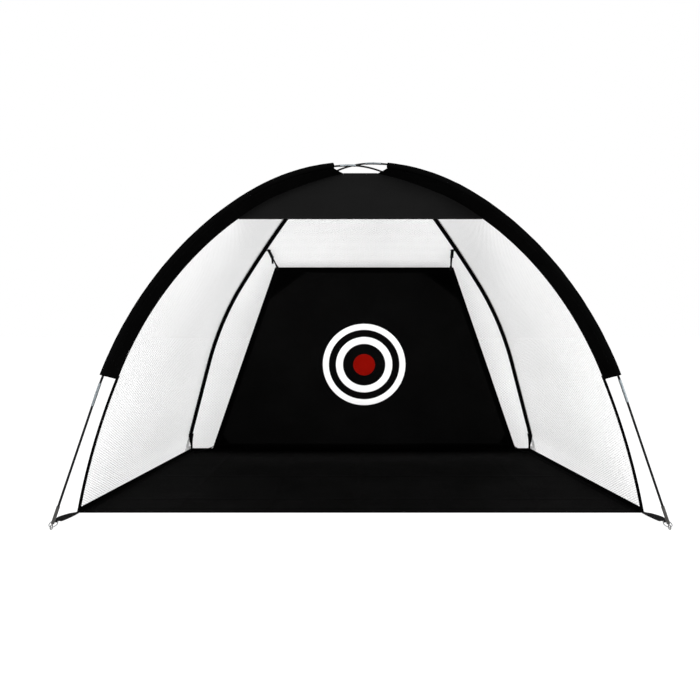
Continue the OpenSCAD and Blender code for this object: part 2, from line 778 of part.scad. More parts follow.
// The strap lies flat from strap_flat outside the corner to strap_lap inside it
strap_flat = 8;
strap_lap = 13;
module foot_strap(side, far) {
  reach = 2 * ring_r - 1;
  foot = far ? rear_foot_gap : norm(front_foot - front_corner);
  low = floor_t + tape_t + strap_t / 2 + sewn_gap - eye_z;
  loop = reach * [cos(ring_tilt), sin(ring_tilt)];
  // the strap's centre line: from the loop's wall down to the corner, then flat
  start = loop + [(loop_in + strap_t) / 2, 0];
  bend = [foot - strap_flat, low];
  end = [foot + strap_lap, low];
  d = (bend - start) / norm(bend - start);
  side_1 = strap_t / 2 * [-d[1], d[0]];
  side_2 = strap_t / 2 * [-d[1], 1 + d[0]] / (1 + d[0]);
  side_3 = [0, strap_t / 2];
  color(black) at_foot(side, far) rotate([90, 0, 0]) difference() {
    union() {
      translate([loop[0], loop[1], -strap_w / 2]) cylinder(h = strap_w, d = loop_in + 2 * strap_t);
      linear_extrude(strap_w, center = true)
        polygon([
          start + side_1, bend + side_2, end + side_3,
          end - side_3, bend - side_2, start - side_1
        ]);
    }
    translate([loop[0], loop[1], -strap_w]) cylinder(h = 2 * strap_w, d = loop_in);
  }
}

floor_sheet();
floor_edge_tape();
side_net("left");  // left_net
side_net("right");  // right_net
rear_net();
peak_panel();
crown_patch();
front_band("left");  // left_front_band
front_band("right");  // right_front_band
rear_sleeve("left");  // left_rear_sleeve
rear_sleeve("right");  // right_rear_sleeve
hem_tape("left");  // left_hem_tape
hem_tape("right");  // right_hem_tape
target_sheet();
target_hem();
target_patches();
target_outer_ring();
target_inner_ring();
target_bull();
upper_tie("left");  // left_upper_tie
upper_tie("right");  // right_upper_tie
hang_loop("left");  // left_hang_loop
hang_loop("right");  // right_hang_loop
lower_tie("left");  // left_lower_tie
lower_tie("right");  // right_lower_tie
pole_a() pole_section(low_arch, 1);  // pole_a_1
pole_a() pole_section(low_arch, 2);  // pole_a_2
pole_a() pole_section(low_arch, 3);  // pole_a_3
pole_a() pole_section(low_arch, 4);  // pole_a_4
pole_a() pole_section(low_arch, 5);  // pole_a_5
pole_a() pole_section(low_arch, 6);  // pole_a_6
pole_a() pole_section(low_arch, 7);  // pole_a_7
pole_a() pole_section(low_arch, 8);  // pole_a_8
pole_b() pole_section(high_arch, 1);  // pole_b_1
pole_b() pole_section(high_arch, 2);  // pole_b_2
pole_b() pole_section(high_arch, 3);  // pole_b_3
pole_b() pole_section(high_arch, 4);  // pole_b_4
pole_b() pole_section(high_arch, 5);  // pole_b_5
pole_b() pole_section(high_arch, 6);  // pole_b_6
pole_b() pole_section(high_arch, 7);  // pole_b_7
pole_b() pole_section(high_arch, 8);  // pole_b_8
pole_a() pole_ferrules(low_arch);  // pole_a_ferrules
pole_b() pole_ferrules(high_arch);  // pole_b_ferrules
pole_a() tip(low_arch, false);  // tip_front_left
pole_b() tip(high_arch, false);  // tip_front_right
pole_b() tip(high_arch, true);  // tip_rear_left
pole_a() tip(low_arch, true);  // tip_rear_right
foot_pin("left", false);  // pin_front_left
foot_pin("right", false);  // pin_front_right
foot_pin("left", true);  // pin_rear_left
foot_pin("right", true);  // pin_rear_right
foot_ring("left", false);  // ring_front_left
foot_ring("right", false);  // ring_front_right
foot_ring("left", true);  // ring_rear_left
foot_ring("right", true);  // ring_rear_right
foot_strap("left", false);  // strap_front_left
foot_strap("right", false);  // strap_front_right
foot_strap("left", true);  // strap_rear_left
foot_strap("right", true);  // strap_rear_right
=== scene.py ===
"""Looks of the golf chipping net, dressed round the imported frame.

Metres, +Z up, the open front faces -Y. The arch, the seams and the target's face are worked out from
the same driving sizes as the construction, so each piece of cloth lies where its node lies.
"""
import json
import math

import bpy
import numpy as np
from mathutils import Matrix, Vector

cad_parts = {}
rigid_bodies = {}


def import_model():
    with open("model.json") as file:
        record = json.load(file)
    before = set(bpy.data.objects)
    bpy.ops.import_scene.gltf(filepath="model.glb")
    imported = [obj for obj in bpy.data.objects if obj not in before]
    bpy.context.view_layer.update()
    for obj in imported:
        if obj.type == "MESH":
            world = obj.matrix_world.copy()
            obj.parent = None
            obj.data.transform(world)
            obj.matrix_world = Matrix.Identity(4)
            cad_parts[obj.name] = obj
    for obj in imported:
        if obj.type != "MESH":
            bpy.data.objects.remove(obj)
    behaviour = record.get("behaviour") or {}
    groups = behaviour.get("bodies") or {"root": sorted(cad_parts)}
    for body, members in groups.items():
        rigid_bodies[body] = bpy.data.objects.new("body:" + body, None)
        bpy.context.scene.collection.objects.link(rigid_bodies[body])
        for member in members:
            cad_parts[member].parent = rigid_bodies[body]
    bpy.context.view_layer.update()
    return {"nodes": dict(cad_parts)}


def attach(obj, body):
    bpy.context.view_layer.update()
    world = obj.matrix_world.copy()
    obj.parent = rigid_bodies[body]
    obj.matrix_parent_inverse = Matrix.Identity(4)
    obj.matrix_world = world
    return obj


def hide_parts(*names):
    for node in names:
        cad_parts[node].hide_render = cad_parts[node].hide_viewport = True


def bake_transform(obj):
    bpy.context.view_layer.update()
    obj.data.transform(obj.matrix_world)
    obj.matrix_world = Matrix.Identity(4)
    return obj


for thing in list(bpy.data.objects):
    bpy.data.objects.remove(thing)
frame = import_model()

# ---------------------------------------------------------------- driving sizes
MM = 0.001
FLOOR_FRONT, FLOOR_REAR, FLOOR_DEPTH, FLOOR_T = 2.040, 1.810, 1.005, 1.4 * MM
TAPE_W, TAPE_T, STRAP_T, SEWN_GAP = 22 * MM, 1.0 * MM, 1.6 * MM, 0.3 * MM

ARCH_H, ARCH_SPAN, REAR_GAP = 1.385, 2.310, 0.045
PLAN_ANGLE = math.radians(31.4)
FRONT_LEAN = 17.5
BENDS = (0, 19, 19, 25, 54, 5, 21, 0)

BAND_W, BAND_START, BAND_END, FRONT_SLEEVE_END = 0.070, 0.545, 0.076, 0.138
BAND_TOP_W, BAND_TAPER = 0.042, 0.300
BAND_TURN = math.radians(38)
REAR_SLEEVE_START, REAR_SLEEVE_LOW = 0.170, 0.1045
BAND_T, SLEEVE_BORE, SLEEVE_SLOT, REAR_SLOT = 1.2 * MM, 12.4 * MM, 21 * MM, 18.4 * MM
SEAM_IN = SLEEVE_SLOT / 2 + 5 * MM
REAR_FIN = SEAM_IN + 0.5 * MM
CORNER_RISE = 0.150

PEAK_LOW, HEM_BOW, HEM_FRONT, HEM_TAPE_W, HEM_TAPE_T = 1.101, 0.014, 13 * MM, 24 * MM, 3 * MM
BAND_RUN_ON = 16 * MM

TARGET_TOP_W, TARGET_LOW_W, TARGET_H = 0.865, 1.530, 0.910
TARGET_TOP_Z, TARGET_TOP_Y, TARGET_SHIFT = 0.960, 0.715, 0.018
TARGET_LEAN = math.radians(7.3)
TARGET_T, HEM_W, PATCH_LEG, LOW_PATCH_LEG = 2 * MM, 25 * MM, 0.180, 0.100
BULL_DROP, OUTER_RING, INNER_RING, BULL_D = 0.480, (0.410, 0.350), (0.280, 0.210), 0.108
HANG_Z, TRIM_T = 1.045, 0.6 * MM

# ---------------------------------------------------------------- feet in plan
ALONG = np.array([math.cos(PLAN_ANGLE), math.sin(PLAN_ANGLE)])
rear_corner = np.array([FLOOR_REAR / 2, FLOOR_DEPTH])
front_corner = np.array([FLOOR_FRONT / 2, 0.0])
rear_foot = rear_corner + REAR_GAP * ALONG
front_foot = np.array([ARCH_SPAN * ALONG[0] - rear_foot[0], rear_foot[1] - ARCH_SPAN * ALONG[1]])
MID_Y = (front_foot[1] + rear_foot[1]) / 2
FLIP = np.array([-1.0, 1.0, 1.0])


# ---------------------------------------------------------------- the arch and the seams
def unit_chord(lean, turn):
    """End point of a stretch of length 1 that starts at a lean and bends evenly by turn."""
    if turn == 0:
        return np.array([math.sin(lean), math.cos(lean)])
    end = lean + turn
    return np.array([math.cos(lean) - math.cos(end), math.sin(end) - math.sin(lean)]) / turn


class Arch:
    """A bowed pole in its own upright plane: [s, z] and lean along its arc length t."""

    samples = 9000

    def __init__(self, height):
        leans = np.radians(np.cumsum((FRONT_LEAN,) + BENDS[:-1]))
        turns = np.radians(BENDS)
        units = [unit_chord(lean, turn) for lean, turn in zip(leans, turns)]
        bent = sum(units[1:-1])
        crown = int(np.flatnonzero(leans < math.pi / 2)[-1])
        rise = sum(u[1] for u in units[1:crown]) + (1 - math.sin(leans[crown])) / turns[crown]
        closing = [
            [math.cos(leans[0]), 0, rise],
            [math.cos(leans[0]), math.cos(leans[-1]), bent[1]],
            [math.sin(leans[0]), math.sin(leans[-1]), bent[0]],
        ]
        front, rear, middle = np.linalg.solve(closing, [height, 0, ARCH_SPAN])
        knots = np.cumsum([0, front] + [middle] * (len(BENDS) - 2) + [rear])
        self.length = knots[-1]
        self.t = np.linspace(0, self.length, self.samples)
        self.lean = np.interp(self.t, knots, np.append(leans, leans[-1]))
        between = (self.lean[1:] + self.lean[:-1]) / 2
        self.s = np.append(0, np.cumsum(np.sin(between))) * self.t[1]
        self.z = np.append(0, np.cumsum(np.cos(between))) * self.t[1]

    def at(self, t):
        return [np.interp(t, self.t, values) for values in (self.s, self.z, self.lean)]


arch = Arch(ARCH_H)
cross_t = float(np.interp(front_foot[0] / ALONG[0], arch.s, arch.t))
top_t = cross_t - BAND_END


def to_space(s, b, z):
    """From the left pole's upright plane, b out of it towards the side net, to the frame."""
    s, b, z = np.broadcast_arrays(s, b, z)
    x = -front_foot[0] + s * ALONG[0] - b * ALONG[1]
    y = front_foot[1] + s * ALONG[1] + b * ALONG[0] - MID_Y
    return np.stack([x, y, z], -1)


def beside(t, n, b):
    """Point n inwards and b sideways of the left pole at arc length t."""
    s, z, lean = arch.at(t)
    return to_space(s + n * np.cos(lean), b, z - n * np.sin(lean))


def band_w(t):
    """Width of the front band at arc length t. It narrows towards its upper end."""
    share = np.clip((np.asarray(t, float) - top_t + BAND_TAPER) / BAND_TAPER, 0, 1)
    return BAND_W + (BAND_TOP_W - BAND_W) * share**1.5


def band_edge(t, inset=0.0):
    w = band_w(t) - inset
    return beside(t, w * math.cos(BAND_TURN), w * math.sin(BAND_TURN))


def rear_beside(u, n):
    return beside(arch.length - np.asarray(u, float), n, 0.0) * FLIP


def rear_edge(u):
    """The cloth's left rear edge, at arc length u up from the rear foot."""
    p = rear_beside(u, SEAM_IN)
    share = np.minimum(1, np.asarray(u, float) / CORNER_RISE)[..., None]
    corner = np.stack([0 * p[..., 2] - rear_corner[0], 0 * p[..., 2] + rear_corner[1] - MID_Y, p[..., 2]], -1)
    return share * p + (1 - share) * corner


floor_corner = np.array([-front_corner[0], -MID_Y, FLOOR_T])
band_foot = band_edge(BAND_START)
hem_mid = (floor_corner + band_foot) / 2 + np.array([-HEM_BOW, 0, 0])


def hem_edge(f):
    """The side net's open front edge, from the floor corner (0) to the band (1)."""
    f = np.asarray(f, float)[..., None]
    pull = 2 * hem_mid - (floor_corner + band_foot) / 2
    return (1 - f) ** 2 * floor_corner + 2 * f * (1 - f) * pull + f**2 * band_foot


def looked_up(where, reach, points):
    """Points between the given ones, which lie at the rising values of reach."""
    return np.stack([np.interp(where, reach, points[:, k]) for k in range(3)], -1)


def by_height(points):
    """Looks points of a rising curve up by their height."""
    return lambda z: looked_up(z, points[:, 2], points)


SEAM_STEPS = 1500
front_at = by_height(
    np.concatenate([
        hem_edge(np.linspace(0, 1, SEAM_STEPS)),
        band_edge(np.linspace(BAND_START, top_t, SEAM_STEPS))[1:],
    ])
)
seam_us = np.linspace(0, arch.length - cross_t - BAND_END, SEAM_STEPS)
rear_at = by_height(rear_edge(seam_us))
net_low_z = FLOOR_T + TAPE_T + STRAP_T + 2 * SEWN_GAP
net_high_z = float(band_edge(top_t)[2]) - SEWN_GAP

# ---------------------------------------------------------------- the target's face
target_top = np.array([TARGET_SHIFT, TARGET_TOP_Y - MID_Y, TARGET_TOP_Z])
face_up = np.array([0, -math.sin(TARGET_LEAN), math.cos(TARGET_LEAN)])
face_out = np.array([0, -math.cos(TARGET_LEAN), -math.sin(TARGET_LEAN)])


def half_w(y):
    """Half the target's width, y up its face from the top edge."""
    return (TARGET_TOP_W + (TARGET_LOW_W - TARGET_TOP_W) * -y / TARGET_H) / 2


def cloth_wave(x, y):
    """How far the hanging target stands out of its plane. It dies off at the four corners."""
    across = x / half_w(y)
    down = np.clip(-y / TARGET_H, 0, 1)
    free = 1 - np.abs(across) ** 3 * np.abs(2 * down - 1) ** 3
    folds = 2.2 * MM * np.sin(7.5 * x + 1.1) * (0.35 + 0.65 * np.abs(2 * down - 1))
    folds += 1.6 * MM * np.sin(4.1 * x - 9.0 * y + 0.4)
    sag = 3.0 * MM * np.sin(math.pi * down)
    return free * (folds + sag)


def on_target(x, y, z):
    """Point x across, y up the face from the top edge and z out of it, on the waved cloth."""
    x, y, z = np.broadcast_arrays(np.asarray(x, float), y, z)
    out = z + cloth_wave(x, y)
    across = target_top + x[..., None] * np.array([1, 0, 0])
    return across + y[..., None] * face_up + out[..., None] * face_out


# ---------------------------------------------------------------- mesh helpers
def mesh_piece(name, points, faces, uv=None, mirror=False, sharp=50):
    """A mesh object. uv holds each vertex's place on the flat cloth, in metres."""
    points = np.asarray(points, float).reshape(-1, 3)
    faces = [list(f) for f in faces]
    if mirror:
        points = points * FLIP
        faces = [f[::-1] for f in faces]
    mesh = bpy.data.meshes.new(name)
    mesh.from_pydata(points.tolist(), [], faces)
    if uv is not None:
        corners = np.zeros(len(mesh.loops), np.int32)
        mesh.loops.foreach_get("vertex_index", corners)
        layer = mesh.uv_layers.new(name="flat_cloth")
        layer.data.foreach_set("uv", np.asarray(uv, np.float32).reshape(-1, 2)[corners].ravel())
    mesh.shade_smooth()
    mesh.set_sharp_from_angle(angle=math.radians(sharp))
    obj = bpy.data.objects.new(name, mesh)
    bpy.context.scene.collection.objects.link(obj)
    return obj


def dress(obj, material, slot, body="tent", replaces=()):
    """Gives a piece its material, the body it rides on and the nodes it stands for. slot is not used."""
    obj.data.materials.append(material)
    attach(obj, body)
    if replaces:
        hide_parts(*replaces)
    return obj


def unit(v):
    return v / np.linalg.norm(v, axis=-1, keepdims=True)


def thin(middle, thickness):
    """Closed sheet round a grid of middle points, and its faces."""
    rows, columns = middle.shape[:2]
    half = unit(np.cross(np.gradient(middle, axis=1), np.gradient(middle, axis=0))) * thickness / 2
    points = np.concatenate([(middle - half).reshape(-1, 3), (middle + half).reshape(-1, 3)])
    low = np.arange(rows * columns).reshape(rows, columns)
    high = low + rows * columns
    faces = []
    for ids, step in ((high, 1), (low, -1)):
        cells = np.stack([ids[:-1, :-1], ids[:-1, 1:], ids[1:, 1:], ids[1:, :-1]], -1)
        faces += cells.reshape(-1, 4)[:, ::step].tolist()
    rim = np.concatenate([low[0, :-1], low[:-1, -1], low[-1, :0:-1], low[:0:-1, 0]])
    after = np.roll(rim, -1)
    shift = rows * columns
    faces += np.stack([after + shift, rim + shift, rim, after], -1).tolist()
    return points, faces


def sheet_piece(name, middle, thickness, flat_uv, **options):
    points, faces = thin(middle, thickness)
    return mesh_piece(name, points, faces, np.tile(flat_uv.reshape(-1, 2), (2, 1)), **options)


def sweep(rings):
    """Faces of a closed solid through rings of points, each ring counterclockwise seen from its end."""
    count, sides = rings.shape[:2]
    ids = np.arange(count * sides).reshape(count, sides)
    turned = np.roll(ids, -1, axis=1)
    walls = np.stack([ids[:-1], turned[:-1], turned[1:], ids[1:]], -1).reshape(-1, 4)
    return walls.tolist() + [ids[0][::-1].tolist(), ids[-1].tolist()]


def closed_loop(rings):
    """Faces of a closed tube through rings of points, whose last ring joins the first."""
    ids = np.arange(rings.shape[0] * rings.shape[1]).reshape(rings.shape[:2])
    turned = np.roll(ids, -1, axis=1)
    corners = [ids, turned, np.roll(turned, -1, axis=0), np.roll(ids, -1, axis=0)]
    return np.stack(corners, -1).reshape(-1, 4)


def mitred(section, outline, place, steps):
    """Rings of a border: a section of (inset, height) points carried round an outline of four
    corners. place turns points (x, y) and a height into points in space."""
    share = np.linspace(0, 1, steps, endpoint=False)[:, None]
    sides = []
    for k in range(4):
        ring = []
        for inset, z in section:
            line = outline(inset)
            ring.append(place(line[k] + share * (line[(k + 1) % 4] - line[k]), z))
        sides.append(np.stack(ring, 1))
    return np.concatenate(sides)


def drawn_in(inset, low, high, half_at, slope):
    """Corners of a trapezium drawn in by inset, as (x, y), anticlockwise from the lower left.
    half_at gives half its width at y; slope is the lean of its sides."""
    low, high, cut = low + inset, high - inset, inset / math.cos(slope)
    corners = ((-1, low), (1, low), (1, high), (-1, high))
    return np.array([(side * (half_at(y) - cut), y) for side, y in corners])


def sides_of(line):
    """Each corner of an outline, with the next one."""
    return zip(line, np.roll(line, -1, axis=0))


def tape_uv(width, along, rings):
    """Flat place of each ring's points: round the tape, and along it."""
    girth = np.linspace(0, width, rings.shape[1])
    return np.stack(np.broadcast_arrays(girth[None, :], along[:, None]), -1)


def rings_along(path, side, section, scale=None):
    """A section of (side, up) points carried along a path. side holds a direction for each point."""
    path = np.asarray(path, float)
    tangent = unit(np.gradient(path, axis=0))
    side = np.broadcast_to(side, path.shape)
    side = unit(side - (side * tangent).sum(-1, keepdims=True) * tangent)
    up = np.cross(tangent, side)
    section = np.asarray(section, float)
    scale = np.ones(len(path)) if scale is None else np.asarray(scale, float)
    across = section[:, 0][None, :, None] * scale[:, None, None]
    return path[:, None, :] + across * side[:, None, :] + section[:, 1][None, :, None] * up[:, None, :]


def flat_section(width, thickness, corners=4):
    """A tape's section: a rectangle with half-round edges, counterclockwise."""
    bend = np.linspace(-math.pi / 2, math.pi / 2, corners)
    r = thickness / 2
    right = np.stack([width / 2 - r + r * np.cos(bend), r * np.sin(bend)], -1)
    return np.concatenate([right, -right])


def round_section(radius, sides=10):
    a = np.arange(sides) * 2 * math.pi / sides
    return radius * np.stack([np.cos(a), np.sin(a)], -1)


def joined(parts):
    """Joins (points, faces) parts into one."""
    points, faces, start = [], [], 0
    for part_points, part_faces in parts:
        part_points = np.asarray(part_points, float).reshape(-1, 3)
        points.append(part_points)
        faces += [[i + start for i in f] for f in part_faces]
        start += len(part_points)
    return np.concatenate(points), faces


def curve_points(points, count):
    """A smooth curve of count points through the given ones (Catmull-Rom)."""
    points = np.asarray(points, float)
    padded = np.concatenate([[2 * points[0] - points[1]], points, [2 * points[-1] - points[-2]]])
    found = []
    for t in np.linspace(0, len(points) - 1, count):
        i = min(int(t), len(points) - 2)
        f = t - i
        a, b, c, d = padded[i : i + 4]
        found.append(
            0.5 * (2 * b + (c - a) * f + (2 * a - 5 * b + 4 * c - d) * f**2 + (3 * b - a - 3 * c + d) * f**3)
        )
    return np.array(found)


# A stitch is a low closed ridge of thread: four corners on the cloth and two on its ridge.
STITCH_CORNERS = np.array([(-1, -1, 0), (1, -1, 0), (1, 1, 0), (-1, 1, 0), (-0.6, 0, 1), (0.6, 0, 1)], float)
STITCH_FACES = [(0, 3, 2, 1), (0, 1, 5, 4), (2, 3, 4, 5), (1, 2, 5), (3, 0, 4)]


def stitch_row(path, up, pitch=4.6 * MM, length=3.4 * MM, width=0.9 * MM, height=0.35 * MM):
    """Points and faces of a row of stitches along a path, on the side that up points to."""
    path = np.asarray(path, float)
    up = np.broadcast_to(up, path.shape)
    gaps = np.linalg.norm(np.diff(path, axis=0), axis=1)
    reach = np.append(0, np.cumsum(gaps))
    spots = np.arange(pitch / 2, reach[-1], pitch)
    where, lift = looked_up(spots, reach, path), unit(looked_up(spots, reach, up))
    along = unit(looked_up(spots + pitch / 4, reach, path) - looked_up(spots - pitch / 4, reach, path))
    lift = unit(lift - (lift * along).sum(-1, keepdims=True) * along)
    side = np.cross(lift, along)
    size = STITCH_CORNERS * [length / 2, width / 2, height]
    points = where[:, None, :] + np.einsum("kc,ncd->nkd", size, np.stack([along, side, lift], 1))
    faces = [[i + 6 * n for i in f] for n in range(len(spots)) for f in STITCH_FACES]
    return points.reshape(-1, 3), faces


def stitched(name, rows, slot="black_cloth", body="tent", material=None, side="left"):
    """A piece made of rows of stitches."""
    obj = mesh_piece(name, *joined(rows), mirror=side == "right")
    return dress(obj, material or thread, slot, body)


def ripple(p, q, seed, scale, waves=5):
    """Smooth waves of about unit height over two coordinates, always the same for a seed."""
    draw = np.random.default_rng(seed)
    total = 0
    for k in range(waves):
        angle, phase = draw.uniform(0, 2 * math.pi, 2)
        f = 2 * math.pi * (0.7 + 0.45 * k) / scale
        total = total + np.sin(f * (p * math.cos(angle) + q * math.sin(angle)) + phase) / (1 + 0.6 * k)
    return total / 2


# ---------------------------------------------------------------- materials
def tone(*values):
    """A colour as it should show, 0 to 255, as the linear colour that a shader takes."""
    linear = [v / 255 / 12.92 if v <= 10 else ((v / 255 + 0.055) / 1.055) ** 2.4 for v in values]
    return (*linear, 1.0)


class Recipe:
    """A material and its Principled shader, built node by node."""

    def __init__(self, name):
        self.material = bpy.data.materials.new(name)
        self.material.use_nodes = True
        self.tree = self.material.node_tree
        self.shader = self.tree.nodes["Principled BSDF"]

    def add(self, kind, inputs=None, **settings):
        node = self.tree.nodes.new(kind)
        for key, value in settings.items():
            setattr(node, key, value)
        for key, value in (inputs or {}).items():
            if isinstance(value, bpy.types.NodeSocket):
                self.tree.links.new(value, node.inputs[key])
            else:
                node.inputs[key].default_value = value
        return node

    def set(self, **values):
        for key, value in values.items():
            socket = self.shader.inputs[key.replace("_", " ")]
            if isinstance(value, bpy.types.NodeSocket):
                self.tree.links.new(value, socket)
            else:
                socket.default_value = value

    def place(self, kind="Object"):
        return self.add("ShaderNodeTexCoord").outputs[kind]

    def noise(self, vector, scale, detail=3.0, stretch=None):
        if stretch:
            vector = self.add("ShaderNodeMapping", {"Vector": vector, "Scale": stretch}).outputs[0]
        inputs = {"Vector": vector, "Scale": scale, "Detail": detail}
        return self.add("ShaderNodeTexNoise", inputs).outputs[0]

    def spread(self, value, low, high, start=0.3, end=0.7):
        inputs = {"Value": value, "From Min": start, "From Max": end, "To Min": low, "To Max": high}
        return self.add("ShaderNodeMapRange", inputs).outputs[0]

    def between(self, factor, a, b):
        return self.add("ShaderNodeMix", {0: factor, 6: a, 7: b}, data_type="RGBA").outputs[2]

    def bands(self, vector, period, axis):
        """A smooth 0 to 1 wave across the cloth, with one thread to each period."""
        inputs = {"Vector": vector, "Scale": math.pi / 10 / period, "Distortion": 0.0}
        settings = {"wave_type": "BANDS", "bands_direction": axis, "wave_profile": "SIN"}
        return self.add("ShaderNodeTexWave", inputs, **settings).outputs[1]

    def math(self, operation, a, b):
        return self.add("ShaderNodeMath", {0: a, 1: b}, operation=operation).outputs[0]

    def bump(self, height, strength, distance):
        inputs = {"Height": height, "Strength": strength, "Distance": distance}
        return self.add("ShaderNodeBump", inputs).outputs[0]


def woven(name, colour, light, thread, rough=(0.78, 0.92), specular=0.12, bump=0.35):
    """Woven cloth: threads both ways, uneven dye and a little uneven gloss."""
    made = Recipe(name)
    flat, solid = made.place("UV"), made.place()
    warp, weft = made.bands(flat, thread, "X"), made.bands(flat, thread, "Y")
    weave = made.math("MULTIPLY", warp, weft)
    cloudy = made.noise(solid, 5.0, 4.0)
    fine = made.noise(solid, 160.0, 2.0)
    mixed = made.math("MULTIPLY_ADD", weave, 0.35)
    made.tree.links.new(made.spread(cloudy, 0.0, 0.65), mixed.node.inputs[2])
    made.set(
        Base_Color=made.between(mixed, colour, light),
        Roughness=made.spread(fine, *rough),
        Specular_IOR_Level=specular,
        Normal=made.bump(made.math("ADD", weave, fine), bump, 0.35 * MM),
    )
    return made.material


def grained(name, dark, light, fine, clouds, rough, specular, relief=None):
    """An uneven tone and an uneven gloss. fine and clouds are the scale and detail of the grain and
    of the tone; relief is the strength and height of the grain's bump."""
    made = Recipe(name)
    solid = made.place()
    grain, cloudy = made.noise(solid, *fine), made.noise(solid, *clouds)
    made.set(
        Base_Color=made.between(made.spread(cloudy, 0.0, 1.0), dark, light),
        Roughness=made.spread(grain, *rough),
        Specular_IOR_Level=specular,
    )
    if relief:
        made.set(Normal=made.bump(grain, *relief))
    return made.material


def felt(name, dark, light, specular=0.15):
    """Flat sewn-on cloth with a soft nap."""
    return grained(name, dark, light, (700.0, 3.0), (14.0, 3.0), (0.82, 0.95), specular, (0.3, 0.25 * MM))


def webbing_material(name, colour, light):
    """Ribbed webbing: bold ribs along it, fine ones across."""
    made = Recipe(name)
    flat = made.place("UV")
    ribs, picks = made.bands(flat, 1.9 * MM, "X"), made.bands(flat, 1.1 * MM, "Y")
    height = made.math("ADD", ribs, made.math("MULTIPLY", picks, 0.5))
    made.set(
        Base_Color=made.between(made.spread(height, 0.0, 1.0, 0.0, 1.5), colour, light),
        Roughness=made.spread(made.noise(made.place(), 240.0), 0.6, 0.8),
        Specular_IOR_Level=0.08,
        Normal=made.bump(height, 0.6, 0.4 * MM),
    )
    return made.material


def plated(name, dark, light, rough, worn=0.0):
    """Plated or bare steel with drawn marks, and duller where it is handled."""
    made = Recipe(name)
    solid = made.place()
    drawn = made.noise(solid, 500.0, 2.0, stretch=(1, 1, 0.15))
    cloudy = made.noise(solid, 45.0, 4.0)
    dull = made.spread(cloudy, 0.0, worn, 0.45, 0.75)
    made.set(
        Base_Color=made.between(made.spread(drawn, 0.0, 1.0), dark, light),
        Metallic=1.0,
        Roughness=made.math("ADD", made.spread(drawn, *rough), dull),
        Normal=made.bump(drawn, 0.1, 0.1 * MM),
    )
    return made.material


black_cloth = woven("black_cloth", tone(1, 1, 1), tone(5, 5, 5), 1.4 * MM, specular=0.02)
floor_cloth = woven("coated_floor_cloth", tone(5, 5, 5), tone(11, 11, 11), 1.6 * MM, specular=0.01)
target_cloth = woven("target_cloth", tone(4, 4, 4), tone(9, 9, 9), 1.4 * MM, specular=0.02)
# The doubled cloth is real, but its darker tone is painted shade, where two layers let less light through.
two_layer_painted_shade_cloth = woven("two_layer_target_cloth_painted_shade", tone(0, 0, 0), tone(2, 2, 2), 1.4 * MM, specular=0.01)
peak_cloth = woven("peak_cloth", tone(14, 14, 14), tone(19, 19, 19), 1.5 * MM, specular=0.02)
thread = felt("thread", tone(7, 7, 7), tone(14, 14, 14), 0.05)
white_felt = felt("white_ring_cloth", tone(247, 247, 247), tone(252, 252, 252))
red_felt = felt("centre_spot_cloth",tone(121, 7, 1), tone(131, 10, 4), 0.02)
white_thread = felt("white_thread", tone(236, 236, 236), tone(246, 246, 246))
red_thread = felt("red_thread", tone(104, 8, 4), tone(118, 12, 7))
net_cloth = grained(
    "pale_netting", tone(240, 240, 240), tone(248, 248, 248), (900.0, 1.0), (3.0, 3.0), (0.5, 0.7), 0.3
)
webbing = webbing_material("webbing", tone(1, 1, 1), tone(5, 5, 6))
pole_skin = grained(
    "glass_fibre", tone(6, 7, 8), tone(13, 14, 15), (220.0, 2.0), (9.0, 2.0), (0.28, 0.45), 0.1,
    (0.08, 0.2 * MM),
)
bright_steel = plated("ferrule_steel", tone(112, 119, 123), tone(142, 149, 153), (0.22, 0.36))
tip_steel = plated("tip_steel", tone(62, 61, 60), tone(84, 83, 82), (0.34, 0.5), 0.15)
ring_steel = plated("ring_steel", tone(128, 129, 131), tone(160, 161, 163), (0.2, 0.34), 0.1)


# ---------------------------------------------------------------- floor
def floor_place(u, v):
    """Middle of the floor cloth, u across and v back, both 0 to 1."""
    half = (FLOOR_FRONT + (FLOOR_REAR - FLOOR_FRONT) * v) / 2
    return (2 * u - 1) * half, v * FLOOR_DEPTH


CREASE_PITCH, CREASE_H, CREASE_W = 0.34, 1.6 * MM, 9 * MM


def floor_height(x, y):
    """Folding creases and low wrinkles, none near the bound edge."""
    half = (FLOOR_FRONT + (FLOOR_REAR - FLOOR_FRONT) * y / FLOOR_DEPTH) / 2
    edge = np.minimum(np.minimum(y, FLOOR_DEPTH - y), half - np.abs(x))
    free = np.clip((edge - 0.03) / 0.09, 0, 1)
    ridge = lambda d: np.exp(-((d / CREASE_W) ** 2))
    across = np.abs((x + CREASE_PITCH / 2) % CREASE_PITCH - CREASE_PITCH / 2)
    along = np.abs((y + 0.01) % CREASE_PITCH - CREASE_PITCH / 2)
    creases = CREASE_H * np.maximum(ridge(across), ridge(along))
    low = 1.8 * MM * np.clip(ripple(x, y, 3, 0.33), 0, 1)
    return free * (creases + low)


def floor_sheet():
    u, v = np.meshgrid(np.linspace(0, 1, 241), np.linspace(0, 1, 121))
    x, y = floor_place(u, v)
    middle = np.stack([x, y - MID_Y, FLOOR_T / 2 + 0.05 * MM + floor_height(x, y)], -1)
    obj = sheet_piece("floor_sheet_cloth", middle, FLOOR_T, np.stack([x, y], -1))
    return dress(obj, floor_cloth, "black_cloth", replaces=["floor_sheet"])


def floor_outline(inset):
    """The floor's corners, drawn in by inset, anticlockwise from the front left."""
    lean = math.atan2((FLOOR_FRONT - FLOOR_REAR) / 2, FLOOR_DEPTH)
    half_at = lambda y: FLOOR_FRONT / 2 - y * math.tan(lean)
    return drawn_in(inset, 0.0, FLOOR_DEPTH, half_at, lean) - [0, MID_Y]


# The binding's section: (distance in from the floor's edge, height)
BINDING = MM * np.array([
    (-0.9, 0.3), (-1.1, 1.2), (-0.8, 2.1), (0.3, 2.7), (21.2, 2.6), (22, 2.3), (22, 1.6), (0.3, 1.6),
    (0.1, 0.3),
])
BINDING_STEPS = 90


